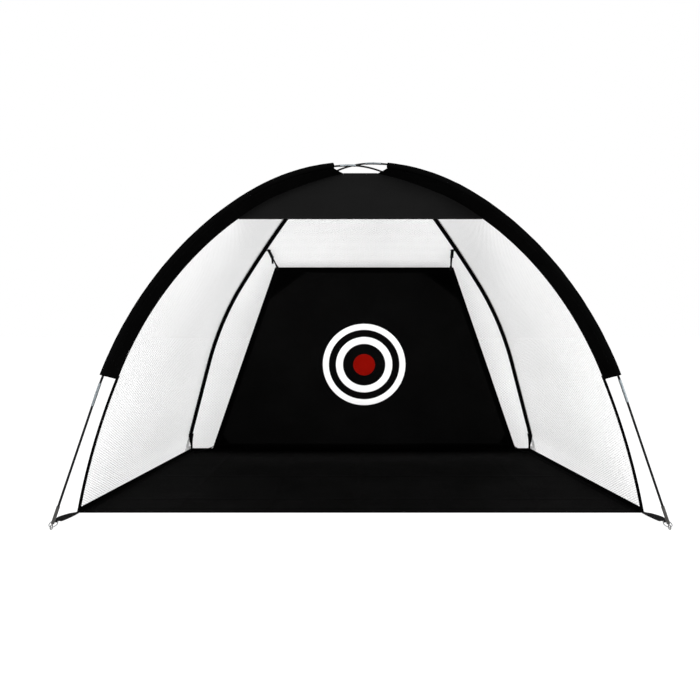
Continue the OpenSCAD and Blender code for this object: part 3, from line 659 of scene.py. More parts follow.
def floor_binding():
    """Tape folded over the floor's edge and sewn down, mitred at the corners."""
    place = lambda p, z: np.column_stack([p, np.full(len(p), z)])
    rings = mitred(BINDING, floor_outline, place, BINDING_STEPS)
    waves = 0.12 * MM * ripple(rings[..., 0], rings[..., 1], 5, 0.05)
    rings[..., 2] += np.where(rings[..., 2] > 1.5 * MM, waves, 0)
    uv = np.stack([rings[..., 0] + rings[..., 1], rings[..., 0] - rings[..., 1]], -1)
    obj = mesh_piece("floor_binding", rings, closed_loop(rings)[:, ::-1], uv)
    return dress(obj, black_cloth, "black_cloth", replaces=["floor_edge_tape"])


def floor_stitching():
    rows, top = [], 2.58 * MM
    for a, b in sides_of(floor_outline(TAPE_W - 3 * MM)):
        rows.append(stitch_row(np.linspace(np.append(a, top), np.append(b, top), 60), (0, 0, 1.0)))
    return stitched("floor_stitching", rows)


# ---------------------------------------------------------------- nets
MESH_W, MESH_H = 16 * MM, 9 * MM
CORD_W, CORD_T, CORD_STEP, CORD_LAYER = 2.8 * MM, 0.9 * MM, 45 * MM, 0.32 * MM
CORD_CORNERS = np.array([(-1, 0), (-0.55, -1), (0.55, -1), (1, 0), (0.55, 1), (-0.55, 1)])
CORD_SECTION = CORD_CORNERS * [CORD_W / 2, CORD_T / 2]
NET_BOW, PIPING_R, SIDE_NET_REACH = 9 * MM, 1.3 * MM, 2.3
SLEEVE_FOOT = (0.040, 0.095)
sleeve_side = SLEEVE_BORE / 2 + BAND_T + PIPING_R
sleeve_side_at = by_height(beside(arch.length - seam_us, 0.0, -sleeve_side) * FLIP)


def side_rail(z):
    """Left net's rear edge: at the corner seam by the floor, and on the sleeve's outer side above."""
    share = np.clip((z - SLEEVE_FOOT[0]) / (SLEEVE_FOOT[1] - SLEEVE_FOOT[0]), 0, 1)[..., None]
    return (1 - share) * rear_at(z) + share * sleeve_side_at(z)


def net_bow(share, z):
    """How far a net is drawn in by its own weight, share of the way across it."""
    rise = np.clip((z - net_low_z) / (net_high_z - net_low_z), 0, 1)
    return NET_BOW * 4 * share * (1 - share) * np.sin(math.pi * rise)


def rear_surface(x, z):
    """Rear net: x across, z up."""
    edge = rear_at(z)
    share = np.clip((1 - x / edge[..., 0]) / 2, 0, 1)
    return np.stack([x + 0 * z, edge[..., 1] - net_bow(share, z), z + 0 * x], -1)


def side_surface(s, z):
    """Left net: s from its rear edge towards its front edge, z up."""
    rear = side_rail(z)
    chord = front_at(z) - rear
    share = s / np.linalg.norm(chord, axis=-1)
    inward = unit(np.stack([-chord[..., 1], chord[..., 0], 0 * z], -1))
    inward = inward * np.sign(inward[..., :1])
    return rear + share[..., None] * chord + net_bow(np.clip(share, 0, 1), z)[..., None] * inward


def side_span(z):
    return 0 * z + 1.5 * MM, np.linalg.norm(front_at(z) - side_rail(z), axis=-1) - 2 * MM


def rear_span(z):
    half = -rear_at(z)[..., 0] + 0.5 * MM
    return -half, half


def inside_runs(s, z, span):
    """Stretches of a line (s, z) that lie on a net, with their ends cut at its edges."""
    low, high = span(z)
    room = np.minimum(np.minimum(s - low, high - s), np.minimum(z - net_low_z, net_high_z - z))
    turns = np.flatnonzero(np.diff(np.concatenate([[0], room > 0, [0]])))
    cut = []
    for a, b in turns.reshape(-1, 2) - [0, 1]:
        line = [(s[i], z[i]) for i in range(a, b + 1)]
        for end, here, beyond in ((0, a, a - 1), (-1, b, b + 1)):
            if 0 <= beyond < len(s):
                f = room[here] / (room[here] - room[beyond])
                point = (s[here] + f * (s[beyond] - s[here]), z[here] + f * (z[beyond] - z[here]))
                line = [point] + line if end == 0 else line + [point]
        cut.append(np.array(line))
    return cut


def net_cords(surface, span, width):
    """Two crossing sets of slanting cords over a net, as tubes of a flat six-sided section."""
    z_table = np.linspace(net_low_z, net_high_z, 400)
    profile = rear_at(z_table)
    reach = np.append(0, np.cumsum(np.linalg.norm(np.diff(profile[:, 1:], axis=0), axis=1)))
    slope = MESH_W / MESH_H
    parts = []
    for lean, layer in ((1, CORD_LAYER), (-1, -CORD_LAYER)):
        first = -width / 2 - reach[-1] * slope if lean > 0 else -width / 2
        last = width / 2 + (lean < 0) * reach[-1] * slope
        for start in np.arange(math.floor(first / MESH_W) * MESH_W, last, MESH_W):
            climb = np.arange(0, reach[-1], 6 * MM)
            s = start + lean * climb * slope
            z = np.interp(climb, reach, z_table)
            for line in inside_runs(s, z, span):
                length = np.linalg.norm(np.diff(line, axis=0), axis=1).sum()
                if length < 4 * MM:
                    continue
                marks = np.linspace(0, len(line) - 1, max(2, int(length / CORD_STEP) + 2))
                line = np.stack([np.interp(marks, np.arange(len(line)), line[:, k]) for k in range(2)], -1)
                s_line, z_line = line[:, 0], line[:, 1]
                here = surface(s_line, z_line)
                e = 2 * MM
                across = surface(s_line + e, z_line) - surface(s_line - e, z_line)
                upward = surface(s_line, z_line + e) - surface(s_line, z_line - e)
                normal = unit(np.cross(across, upward))
                tangent = unit(np.gradient(here, axis=0))
                rings = rings_along(here + layer * normal, np.cross(normal, tangent), CORD_SECTION)
                parts.append((rings, sweep(rings)))
    return parts


def net_binding(name, surface, span, mirror=False):
    """Black piping round a net's four edges, which holds the ends of its cords."""
    z = np.linspace(net_low_z, net_high_z, 60)
    low, high = span(z)
    across_low = np.linspace(low[0], high[0], 60)
    across_high = np.linspace(high[-1], low[-1], 30)
    loop = np.concatenate([
        surface(across_low, 0 * across_low + net_low_z),
        surface(high, z)[1:-1],
        surface(across_high, 0 * across_high + net_high_z),
        surface(low, z)[::-1][1:-1],
    ])
    rings = rings_along(loop, (0, 0.6, 0.8), round_section(PIPING_R, 8))
    uv = np.stack([rings[..., 1], rings[..., 2]], -1)
    obj = mesh_piece(name, rings, closed_loop(rings), uv, mirror)
    return dress(obj, black_cloth, "black_cloth")


def net_piece(name, node, surface, span, width, mirror=False):
    obj = mesh_piece(name, *joined(net_cords(surface, span, width)), mirror=mirror, sharp=60)
    return dress(obj, net_cloth, "net_mesh", replaces=[node])


def net_cut(surface, span):
    """A net's width and length before it was sewn in, and its area."""
    z = np.linspace(net_low_z, net_high_z, 120)[:, None]
    low, high = span(z)
    s = low + (high - low) * np.linspace(0, 1, 60)
    grid = surface(s, z + 0 * s)
    a, b = grid[1:, 1:] - grid[:-1, :-1], grid[1:, :-1] - grid[:-1, 1:]
    area = np.linalg.norm(np.cross(a, b), axis=-1).sum() / 2
    length = np.linalg.norm(np.diff(grid[:, 30], axis=0), axis=-1).sum()
    return (float((high - low).max()), float(length)), float(area)


FOOT_TAPE_W, CORNER_TAPE_W, NET_TAPE_T = 20 * MM, 7 * MM, 2.4 * MM


def foot_tape(name, surface, span, mirror=False):
    """Tape folded over a net's lower edge and sewn to the floor's binding."""
    z = np.linspace(FLOOR_T, FOOT_TAPE_W, 5)[:, None]
    low, high = span(z)
    s = low + (high - low) * np.linspace(0, 1, 100)
    flat = np.stack(np.broadcast_arrays(s, z), -1)
    obj = sheet_piece(name, surface(s, z + 0 * s), NET_TAPE_T, flat, mirror=mirror)
    return dress(obj, black_cloth, "black_cloth")


def corner_tape(side):
    """Tape over the seam of the side and rear nets, from the floor up to the rear sleeve."""
    z = np.linspace(FLOOR_T, SLEEVE_FOOT[1] + 4 * MM, 26)
    wing = CORNER_TAPE_W * np.array([1, 0.5, 0])[:, None] + 0 * z
    edge = rear_at(z)
    columns = [side_surface(w, z) for w in wing]
    columns += [edge, rear_surface(edge[:, 0] + wing[1], z), rear_surface(edge[:, 0] + wing[0], z)]
    middle = np.stack(columns, 1)
    across = np.append(0, np.cumsum(np.linalg.norm(np.diff(middle[0], axis=0), axis=-1)))
    flat = np.stack(np.broadcast_arrays(across[None, :], z[:, None]), -1)
    obj = sheet_piece(f"{side}_corner_tape", middle, NET_TAPE_T, flat, mirror=side == "right")
    return dress(obj, black_cloth, "black_cloth")


# ---------------------------------------------------------------- bands and sleeves
LOOP_SIDES, FLAP_STEPS = 22, 9
ROOT_HALF = math.radians(5)


def oval(angle, slot, grow):
    return np.stack([(slot / 2 + grow) * np.cos(angle), (SLEEVE_BORE / 2 + grow) * np.sin(angle)], -1)


def sleeve_section(turn, width, slot):
    """(n, b) points of a sleeve's outside, from the flap's root out and back, then round the tube;
    how far out on the flap each one lies, 0 to 1; and the points of its inside."""
    angles = turn + ROOT_HALF + np.arange(LOOP_SIDES + 1) * (2 * math.pi - 2 * ROOT_HALF) / LOOP_SIDES
    tube = oval(angles, slot, BAND_T)
    root = np.linalg.norm(tube[0])
    out = np.array([math.cos(turn), math.sin(turn)])
    aside = np.array([-math.sin(turn), math.cos(turn)])
    reach = np.linspace(root, width, FLAP_STEPS + 1)[1:]
    under = [r * out - BAND_T / 2 * aside for r in reach]
    over = [r * out + BAND_T / 2 * aside for r in reach[::-1]]
    outer = np.array([tube[-1], *under, *over, *tube[:-1]])
    share = np.clip((outer @ out - root) / (width - root), 0, 1)
    share[np.abs(outer @ aside) > BAND_T] = 0
    return outer, share, oval(angles, slot, 0)


def sleeve_mesh(t0, t1, t2, turn, widths, slot, seed, pucker=0.35 * MM, flutter=1.6 * MM):
    """A sleeve and its flap from t0 to t1 along the left pole; the flap's edge runs on to t2.
    widths gives the flap's width at an arc length."""
    width = float(widths(t0))
    outer, share, inner = sleeve_section(turn, width, slot)
    steps = int(abs(t1 - t0) / (11 * MM))
    f = np.linspace(0, 1, steps + 1)[:, None]
    out = np.array([math.cos(turn), math.sin(turn)])
    aside = np.array([-math.sin(turn), math.cos(turn)])
    rings = []
    for points, reach in ((outer, share), (inner, np.zeros(len(inner)))):
        t = t0 + f * (t1 + (t2 - t1) * reach[None, :] - t0)
        radial = unit(points + 1e-9)
        swell = pucker * ripple(t, points[None, :, 1] * 9, seed, 0.06) * (reach[None, :] == 0)
        lift = flutter * ripple(t, 0.0, seed + 1, 0.21) * reach[None, :] ** 1.5
        narrowed = (widths(t) - width) * reach[None, :]
        n = points[None, :, 0] + swell * radial[None, :, 0] + lift * aside[0] + narrowed * out[0]
        b = points[None, :, 1] + swell * radial[None, :, 1] + lift * aside[1] + narrowed * out[1]
        rings.append(beside(t, n, b))
    no, ni = len(outer), len(inner)
    a = np.arange((steps + 1) * no).reshape(steps + 1, no)
    c = np.arange((steps + 1) * ni).reshape(steps + 1, ni) + a.size
    at, ct = np.roll(a, -1, axis=1), np.roll(c, -1, axis=1)
    faces = np.stack([a[1:], at[1:], at[:-1], a[:-1]], -1).reshape(-1, 4).tolist()
    faces += np.stack([ct[1:], c[1:], c[:-1], ct[:-1]], -1).reshape(-1, 4).tolist()
    # the inner loop's last point faces the outer loop's first one, the root of the flap
    facing = np.concatenate([np.arange(2 * FLAP_STEPS + 1, no), [0]])
    for end, turned in ((0, False), (-1, True)):
        for k in range(ni):
            m = (k + 1) % ni
            quad = [c[end][m], c[end][k], a[end][facing[k]], a[end][facing[m]]]
            faces.append(quad[::-1] if turned else quad)
        for k in range(FLAP_STEPS):
            back = 2 * FLAP_STEPS + 1
            quad = [a[end][k], a[end][k + 1], a[end][back - k - 1], a[end][(back - k) % no]]
            faces.append(quad[::-1] if turned else quad)
    points = np.concatenate([r.reshape(-1, 3) for r in rings])
    girth = np.append(0, np.cumsum(np.linalg.norm(np.diff(outer, axis=0), axis=1)))
    girth_in = np.append(0, np.cumsum(np.linalg.norm(np.diff(inner, axis=0), axis=1)))
    length = t0 + f * (t1 - t0)
    uv = [np.stack(np.broadcast_arrays(g[None, :], length), -1).reshape(-1, 2) for g in (girth, girth_in)]
    return points, faces, np.concatenate(uv)


def flap_line(t, r, side, turn):
    """A line on a flap's face, r out from the pole, with the direction that the face looks in."""
    n = r * math.cos(turn) - side * BAND_T / 2 * math.sin(turn)
    b = r * math.sin(turn) + side * BAND_T / 2 * math.cos(turn)
    up = side * (beside(t, -math.sin(turn) * 1.0, math.cos(turn) * 1.0) - beside(t, 0.0, 0.0))
    return beside(t, n, b), unit(up)


def front_band(side):
    """Its lower end runs on a little past the side net's seam, over the ferrule."""
    mirror = side == "right"
    t0, t1 = BAND_START - BAND_RUN_ON, cross_t - FRONT_SLEEVE_END
    points, faces, uv = sleeve_mesh(t0, t1, top_t, BAND_TURN, band_w, SLEEVE_SLOT, 11 if mirror else 12)
    obj = mesh_piece(f"{side}_band_cloth", points, faces, uv, mirror)
    return dress(obj, black_cloth, "black_cloth", replaces=[f"{side}_front_band"])


def band_stitching(side):
    """Two rows of stitches on each face of a band: beside the sleeve and along its inner edge."""
    t = np.linspace(BAND_START - BAND_RUN_ON + 3 * MM, cross_t - FRONT_SLEEVE_END, 120)
    rows = []
    for r in (SEAM_IN + 1.5 * MM, SEAM_IN + 5.5 * MM):
        for face in (-1, 1):
            rows.append(stitch_row(*flap_line(t, r, face, BAND_TURN)))
    return stitched(f"{side}_band_stitching", rows, side=side)


def rear_sleeve(side):
    """The left one lies on the pole whose front foot is on the right, so it is a mirror image."""
    t0, t1 = cross_t + REAR_SLEEVE_START, arch.length - REAR_SLEEVE_LOW
    fin = lambda t: REAR_FIN + 0 * t
    seed = 21 if side == "left" else 22
    points, faces, uv = sleeve_mesh(t0, t1, t1, 0.0, fin, REAR_SLOT, seed, pucker=0.22 * MM, flutter=0.0)
    obj = mesh_piece(f"{side}_rear_sleeve_cloth", points, faces, uv, side == "left")
    return dress(obj, black_cloth, "black_cloth", replaces=[f"{side}_rear_sleeve"])


def hem_line(shares, inset):
    """A line along a side net's front hem, inset from the tape's front edge."""
    return hem_edge(shares) + np.array([0, inset - HEM_FRONT, 0])


def hem_tape(side):
    """Tape folded round the open front edge of a side net."""
    shares = np.linspace(0.008, 0.995, 60)
    rings = rings_along(
        hem_line(shares, HEM_TAPE_W / 2), (0, 1.0, 0), flat_section(HEM_TAPE_W, HEM_TAPE_T, 5)
    )
    uv = tape_uv(2 * HEM_TAPE_W, shares, rings)
    obj = mesh_piece(f"{side}_hem_tape_cloth", rings, sweep(rings), uv, side == "right")
    return dress(obj, black_cloth, "black_cloth", replaces=[f"{side}_hem_tape"])


def hem_stitching(side):
    line = hem_line(np.linspace(0.012, 0.99, 80), HEM_TAPE_W - 3 * MM)
    out = unit(np.cross(unit(np.gradient(line, axis=0)), np.array([0, 1.0, 0])))
    rows = [stitch_row(line + sign * (HEM_TAPE_T / 2 - 0.03 * MM) * out, sign * out) for sign in (-1, 1)]
    return stitched(f"{side}_hem_stitching", rows, side=side)


# ---------------------------------------------------------------- peak
peak_t = np.linspace(BAND_START, top_t, 3000)
peak_low_t = float(np.interp(PEAK_LOW, band_edge(peak_t)[:, 2], peak_t))
PEAK_SAG, LAP_W, LAP_OFF, LAP_CUT = 5 * MM, 11 * MM, 1.7 * MM, 2.6
CROWN_INSET, CROWN_LIP = 16 * MM, 7 * MM


def peak_point(u, v):
    t = peak_low_t + v * (top_t - peak_low_t)
    edge = band_edge(t)
    x = (1 - 2 * u) * edge[..., 0]
    sag = PEAK_SAG * 4 * u * (1 - u) * (0.3 + 0.7 * np.sin(math.pi * v))
    return np.stack([x, edge[..., 1] + sag * 0.7, edge[..., 2] - sag * 0.3 * np.sin(math.pi * v)], -1)


def peak_lap(v):
    """Left edge strip of the peak panel, which laps the band's inner face, outermost line first."""
    columns = []
    for inset in (LAP_W, LAP_W / 2, 0.5 * MM):
        reach = peak_low_t + v * (top_t - LAP_CUT * inset - peak_low_t)
        behind = beside(reach, -math.sin(BAND_TURN), math.cos(BAND_TURN)) - beside(reach, 0.0, 0.0)
        columns.append(band_edge(reach, inset) + LAP_OFF * behind)
    return np.stack(columns, 1)


def peak_panel():
    u, v = np.meshgrid(np.linspace(0, 1, 81), np.linspace(0, 1, 45))
    middle = peak_point(u, v)
    out = unit(np.cross(np.gradient(middle, axis=1), np.gradient(middle, axis=0)))
    free = np.clip(4 * u * (1 - u), 0, 1) * np.clip(6 * v * (1 - v), 0, 1)
    middle = middle + (0.9 * MM * free * ripple(middle[..., 0], middle[..., 2], 31, 0.16))[..., None] * out
    lap = peak_lap(v[:, 0])
    middle = np.concatenate([lap, middle[:, 1:-1], (lap * FLIP)[:, ::-1]], 1)
    v = np.concatenate([v[:, :3], v[:, 1:-1], v[:, :3]], 1)
    flat = np.stack([middle[..., 0], v * (top_t - peak_low_t)], -1)
    obj = sheet_piece("peak_panel_cloth", middle, BAND_T, flat)
    return dress(obj, peak_cloth, "peak_cloth", replaces=["peak_panel"])


def peak_hem():
    """Turned hem along the peak panel's straight lower edge."""
    u = np.linspace(0.004, 0.996, 90)
    line = peak_point(u, 0 * u + 0.035)
    rings = rings_along(line, peak_point(u, 0 * u + 0.07) - line, flat_section(14 * MM, 2.2 * MM, 4))
    obj = mesh_piece("peak_hem", rings, sweep(rings), tape_uv(0.03, line[:, 0], rings))
    return dress(obj, peak_cloth, "peak_cloth")


def crown_patch():
    """Small flat cap under the crossing, cut off where the rear sleeves come down. Its front edge is
    turned down over the peak panel's upper edge."""
    front, rear = band_edge(top_t), rear_at(net_high_z + SEWN_GAP)
    half = np.linspace(-1, 1, 41)[None, :]
    depth = np.linspace(0, 1, 25)[:, None]
    width = -front[0] + (-rear[0] - CROWN_INSET + front[0]) * depth
    x, y = half * width, front[1] + depth * (rear[1] - front[1]) + 0 * half
    z = net_high_z + 1.7 * MM + 4 * MM * (1 - half**2) * np.sin(math.pi * depth)
    middle = np.stack(np.broadcast_arrays(x, y, z), -1)
    lip = [middle[0] + np.array([0, -2.2 * MM, -down]) for down in (CROWN_LIP, CROWN_LIP / 2, 0.8 * MM)]
    middle = np.concatenate([lip, middle])
    obj = sheet_piece("crown_cap", middle, BAND_T, middle[..., :2])
    return dress(obj, black_cloth, "black_cloth", replaces=["crown_patch"])


# ---------------------------------------------------------------- target
def target_grid(columns, rows):
    u, v = np.meshgrid(np.linspace(-1, 1, columns), np.linspace(-1, 0, rows))
    y = v * TARGET_H
    return u * half_w(y), y


def target_sheet():
    x, y = target_grid(161, 97)
    obj = sheet_piece("target_cloth_sheet", on_target(x, y, 0.0), TARGET_T, np.stack([x, y], -1))
    return dress(obj, target_cloth, "target_cloth", "target", ["target_sheet"])


# The target hem's section: (distance in from its edge, height out of its face)
HEM_SECTION = MM * np.array([
    (-0.9, -1.7), (-1.1, 0), (-0.9, 1.7), (0.4, 2.3), (24.2, 2.3), (25, 1.9), (25, 0.9), (25, -0.9),
    (25, -1.9), (24.2, -2.3), (0.4, -2.3),
])
HEM_STEPS = 70


def hem_lines(inset):
    """The target's corners, drawn in by inset, anticlockwise from the lower left, as (x, y)."""
    slope = math.atan2(TARGET_LOW_W - TARGET_TOP_W, 2 * TARGET_H)
    return drawn_in(inset, -TARGET_H, 0.0, half_w, slope)


def target_hem():
    """The turned edge: a folded border over front, edge and back, mitred at the corners."""
    place = lambda p, z: on_target(p[:, 0], np.clip(p[:, 1], -TARGET_H - 2 * MM, 2 * MM), z)
    rings = mitred(HEM_SECTION, hem_lines, place, HEM_STEPS)
    uv = np.stack([rings[..., 0], rings[..., 2]], -1)
    obj = mesh_piece("target_border", rings, closed_loop(rings)[:, ::-1], uv)
    # The hem's doubled cloth is real, but its darker tone is painted shade, where two layers let less light
    # through.
    return dress(obj, two_layer_painted_shade_cloth, "target_cloth", "target", ["target_hem"])


def patch_outline(side, top):
    """Corners of a corner patch as (x, y), from the target's corner along its level edge."""
    leg, y, step = (PATCH_LEG, 0.0, -PATCH_LEG) if top else (LOW_PATCH_LEG, -TARGET_H, LOW_PATCH_LEG)
    return [(side * half_w(y), y), (side * (half_w(y) - leg), y), (side * half_w(y + step), y + step)]


def target_patches():
    """Doubled cloth in the four corners, on the front and the back: the back patches are real, the darker
    front ones are painted shade, where two layers let less light through.
    """
    parts = []
    for side in (-1, 1):
        for top in (True, False):
            (x0, y0), (x1, y1), (x2, y2) = patch_outline(side, top)
            u, v = np.meshgrid(np.linspace(0, 1, 19), np.linspace(0, 1, 19))
            x = x0 + (1 - v * 0.999) * u * (x1 - x0) + v * (x2 - x0)
            y = y0 + (1 - v * 0.999) * u * (y1 - y0) + v * (y2 - y0)
            if side * (1 if top else -1) > 0:
                x, y = x[:, ::-1], y[:, ::-1]
            # The layer on the front is painted shade; the one on the back is the real patch.
            for out in (TARGET_T / 2 + TRIM_T * 0.4, -TARGET_T / 2 - TRIM_T * 0.4):
                parts.append(thin(on_target(x, y, out), TRIM_T))
    points, faces = joined(parts)
    uv = np.stack([points[:, 0], points[:, 2]], -1)
    obj = mesh_piece("target_corner_patches_with_painted_shade", points, faces, uv)
    return dress(obj, two_layer_painted_shade_cloth, "target_cloth", "target", ["target_patches"])


def target_stitching():
    """Stitches inside the border and along each patch's slanting edge, on the front and the back."""
    rows = []
    for face in (1, -1):
        share = np.linspace(0, 1, 90)
        for a, b in sides_of(hem_lines(HEM_W - 3 * MM)):
            path = on_target(a[0] + share * (b[0] - a[0]), a[1] + share * (b[1] - a[1]), face * 2.28 * MM)
            rows.append(stitch_row(path, face * face_out))
        for side in (-1, 1):
            for top in (True, False):
                corner, a, b = [np.array(p) for p in patch_outline(side, top)]
                inward = 0.045 * (corner - (a + b) / 2)
                share = np.linspace(0.16, 0.84, 50)[:, None]
                p = a + share * (b - a) + inward
                rows.append(stitch_row(on_target(p[:, 0], p[:, 1], face * 1.55 * MM), face * face_out))
    return stitched("target_stitching", rows, "target_cloth", "target")


def face_disc(name, node, outer, bore, material, slot):
    """A ring or disc of cloth laid on the target's face, with a soft edge."""
    sides = 160
    a = np.linspace(0, 2 * math.pi, sides, endpoint=False)
    radii = np.linspace(bore / 2, outer / 2, max(4, int((outer - bore) / 2 / (9 * MM))))
    base = TARGET_T / 2
    top, low, bevel = base + 1.25 * TRIM_T, base - 0.2 * MM, 0.5 * MM
    shoulder = top - 0.2 * MM
    profile = [(r, top) for r in radii[1:-1]]
    profile += [(radii[-1] - bevel, top), (radii[-1], shoulder), (radii[-1], low)]
    if bore > 0:
        profile = [(radii[0], low), (radii[0], shoulder), (radii[0] + bevel, top)] + profile
    rings = np.stack([on_target(r * np.cos(a), r * np.sin(a) - BULL_DROP, z) for r, z in profile])
    points = rings.reshape(-1, 3)
    ids = np.arange(len(points)).reshape(len(profile), sides)
    turned = np.roll(ids, -1, axis=1)
    faces = np.stack([ids[:-1], turned[:-1], turned[1:], ids[1:]], -1).reshape(-1, 4)[:, ::-1].tolist()
    if bore > 0:
        faces += np.stack([ids[-1], turned[-1], turned[0], ids[0]], -1)[:, ::-1].tolist()
    else:
        faces += [ids[0].tolist(), ids[-1][::-1].tolist()]
    uv = points[:, [0, 2]]
    obj = mesh_piece(name, points, faces, uv)
    return dress(obj, material, slot, "target", [node])


def disc_stitching(name, radii, material, slot):
    a = np.linspace(0, 2 * math.pi, 181)
    rows = []
    for r in radii:
        path = on_target(r * np.cos(a), r * np.sin(a) - BULL_DROP, TARGET_T / 2 + 1.2 * TRIM_T)
        rows.append(stitch_row(path, face_out, 3.4 * MM, 2.5 * MM, 0.8 * MM, 0.3 * MM))
    return stitched(name, rows, slot, "target", material)


# ---------------------------------------------------------------- ties and hang loops
LOOP_BAR, LOOP_W, LOOP_BACK = 3.2 * MM, 20 * MM, 6 * MM
TIE_W, TIE_T, KNOT_SHARE, KNOT_D, KNOT_CORD_R = 8 * MM, 1.4 * MM, 0.36, 15 * MM, 2.6 * MM
TAIL_LEN, TAIL_SPLAY = 36 * MM, math.radians(10)
hang_left = rear_at(HANG_Z) + np.array([14, -20, 0]) * MM
loop_root = rear_beside(float(np.interp(HANG_Z, rear_edge(seam_us)[:, 2], seam_us)), REAR_FIN + LOOP_BAR / 2)


def tube(path, radius, sides=10, side=(0.13, 0.31, 0.94)):
    rings = rings_along(path, side, round_section(radius, sides))
    return rings, sweep(rings)


def hang_loop(side):
    """A loop of cord sewn on the rear sleeve: round the tie's bar and back to one root."""
    half = (LOOP_W - LOOP_BAR) / 2
    left, right = hang_left + np.array([-half, 0, 0]), hang_left + np.array([half, 0, 0])
    back = np.array([0, LOOP_BACK, 0])
    corners = [loop_root, left + back, left + 0.25 * back, hang_left - np.array([0, 0.2 * MM, 0])]
    corners += [right + 0.25 * back, right + back, loop_root]
    path = curve_points(corners, 60)
    obj = mesh_piece(f"{side}_loop_cord", *tube(path, LOOP_BAR / 2, 10), mirror=side == "right")
    return dress(obj, webbing, "black_cloth", replaces=[f"{side}_hang_loop"])


def knot_path(centre, size, down, across):
    """An overhand knot's round of cord, size across."""
    t = np.linspace(0, 2 * math.pi, 64)
    third = np.cross(down, across)
    x = (np.sin(t) + 2 * np.sin(2 * t)) / 3
    y = (np.cos(t) - 2 * np.cos(2 * t)) / 3
    z = -np.sin(3 * t) / 2
    return centre + size / 2 * (x[:, None] * across + y[:, None] * down + z[:, None] * third)


def ribbon(path, across, width, thickness, scale=None):
    rings = rings_along(path, across, flat_section(width, thickness, 4), scale)
    return rings, sweep(rings)


def upper_tie(side):
    """A doubled tape round the hang loop, a knot with its tail, and one tape on to the target."""
    sign = -1 if side == "left" else 1
    top = hang_left if side == "left" else hang_left * FLIP
    x, lift = sign * (half_w(0) - 1.5 * TIE_W), TARGET_T / 2 + TRIM_T + TIE_T / 2 + 2 * SEWN_GAP
    sewn = on_target(x, -2 * MM, lift)
    way = unit(sewn - top)
    knot = top + KNOT_SHARE * (sewn - top)
    across = np.array([1.0, 0, 0])
    out = unit(np.cross(across, way))
    eye_r, apart = LOOP_BAR / 2 + 0.9 * MM + TIE_T / 2, 0.9 * MM * out
    turn = np.linspace(0.25, 2 * math.pi - 0.25, 26)[:, None]
    neck, low = top + 2.2 * eye_r * way, knot - 3 * MM * way
    eye = top + eye_r * (np.cos(turn) * way + np.sin(turn) * out)
    doubled = np.concatenate([[low + apart, neck + apart], eye, [neck - apart, low - apart]])
    strands = np.interp(np.linspace(-1, 1, len(doubled)), [-1, -0.85, 0.85, 1], [-1, -1, 1, 1])
    doubled = doubled + 0.45 * TIE_W * strands[:, None] * across
    single = np.append(np.linspace(knot, sewn, 14), [on_target(x, -14 * MM, lift)], axis=0)
    spread = np.interp(np.linspace(0, 1, 15), [0, 0.6, 0.92, 1], [0.9, 0.9, 1.7, 1.7])
    fall = np.array([-sign * math.sin(TAIL_SPLAY), -0.05, -1.0])
    tail_end = knot + TAIL_LEN * fall + [sign * 2 * MM, 0, 0]
    tail = curve_points([knot, knot + 0.4 * TAIL_LEN * fall, tail_end], 12)
    points, faces = joined([
        ribbon(doubled, across, TIE_W, TIE_T * 0.8),
        ribbon(single, across, TIE_W, TIE_T * 0.8, spread),
        tube(knot_path(knot, KNOT_D, way, across), KNOT_CORD_R, 9),
        ribbon(tail, across, TIE_W * 1.2, TIE_T * 1.3),
    ])
    obj = mesh_piece(f"{side}_upper_tie_tape", points, faces, points[:, [0, 2]])
    return dress(obj, webbing, "target_cloth", "target", [f"{side}_upper_tie"])


def lower_tie(side):
    """Tape from the target's lower corner to the tent's rear corner."""
    sign = -1 if side == "left" else 1
    behind = TARGET_T / 2 + TRIM_T + TIE_T / 2 + SEWN_GAP
    start = on_target(sign * (half_w(-TARGET_H) - TIE_W / 2), TIE_W - TARGET_H, -behind)
    end = np.array([
        sign * (rear_corner[0] - TAPE_W),
        rear_corner[1] - MID_Y - TAPE_W,
        FLOOR_T + TAPE_T + TIE_T / 2 + SEWN_GAP,
    ])
    share = np.linspace(0, 1, 40)[:, None]
    path = start + share * (end - start) + np.array([0, 0, -3 * MM]) * np.sin(math.pi * share)
    rings = rings_along(path, (1.0, 0, 0), flat_section(TIE_W, TIE_T, 5))
    obj = mesh_piece(f"{side}_lower_tie_tape", rings, sweep(rings), tape_uv(2 * TIE_W, path[:, 1], rings))
    obj.data.materials.append(webbing)
    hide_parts(f"{side}_lower_tie")
    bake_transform(obj)
    return obj


# ---------------------------------------------------------------- foot straps
RING_WIRE, RING_D, RING_TILT, EYE_D = 3 * MM, 30 * MM, math.radians(32), 17 * MM
STRAP_W, LOOP_IN, STRAP_FLAT, STRAP_LAP = 14 * MM, 7.6 * MM, 8 * MM, 13 * MM
STRAP_TWIST, STRAP_STEPS = math.radians(50), 16
EYE_Z = EYE_D / 2 + SEWN_GAP
RING_R = (RING_D - RING_WIRE) / 2


def foot_frame(far):
    """A left foot's eye, and the level direction from it to the floor's corner."""
    s, z, lean = arch.at(arch.length if far else 0.0)
    t = arch.length - EYE_Z / math.cos(math.pi - float(lean)) if far else EYE_Z / math.cos(float(lean))
    s = arch.at(t)[0]
    foot = to_space(s, 0.0, EYE_Z) * (FLIP if far else 1)
    corner = rear_corner if far else front_corner
    way = np.array([-corner[0], corner[1] - MID_Y, 0]) - foot * [1, 1, 0]
    return foot, unit(way)


def ease(share):
    share = np.clip(share, 0, 1)
    return share * share * (3 - 2 * share)


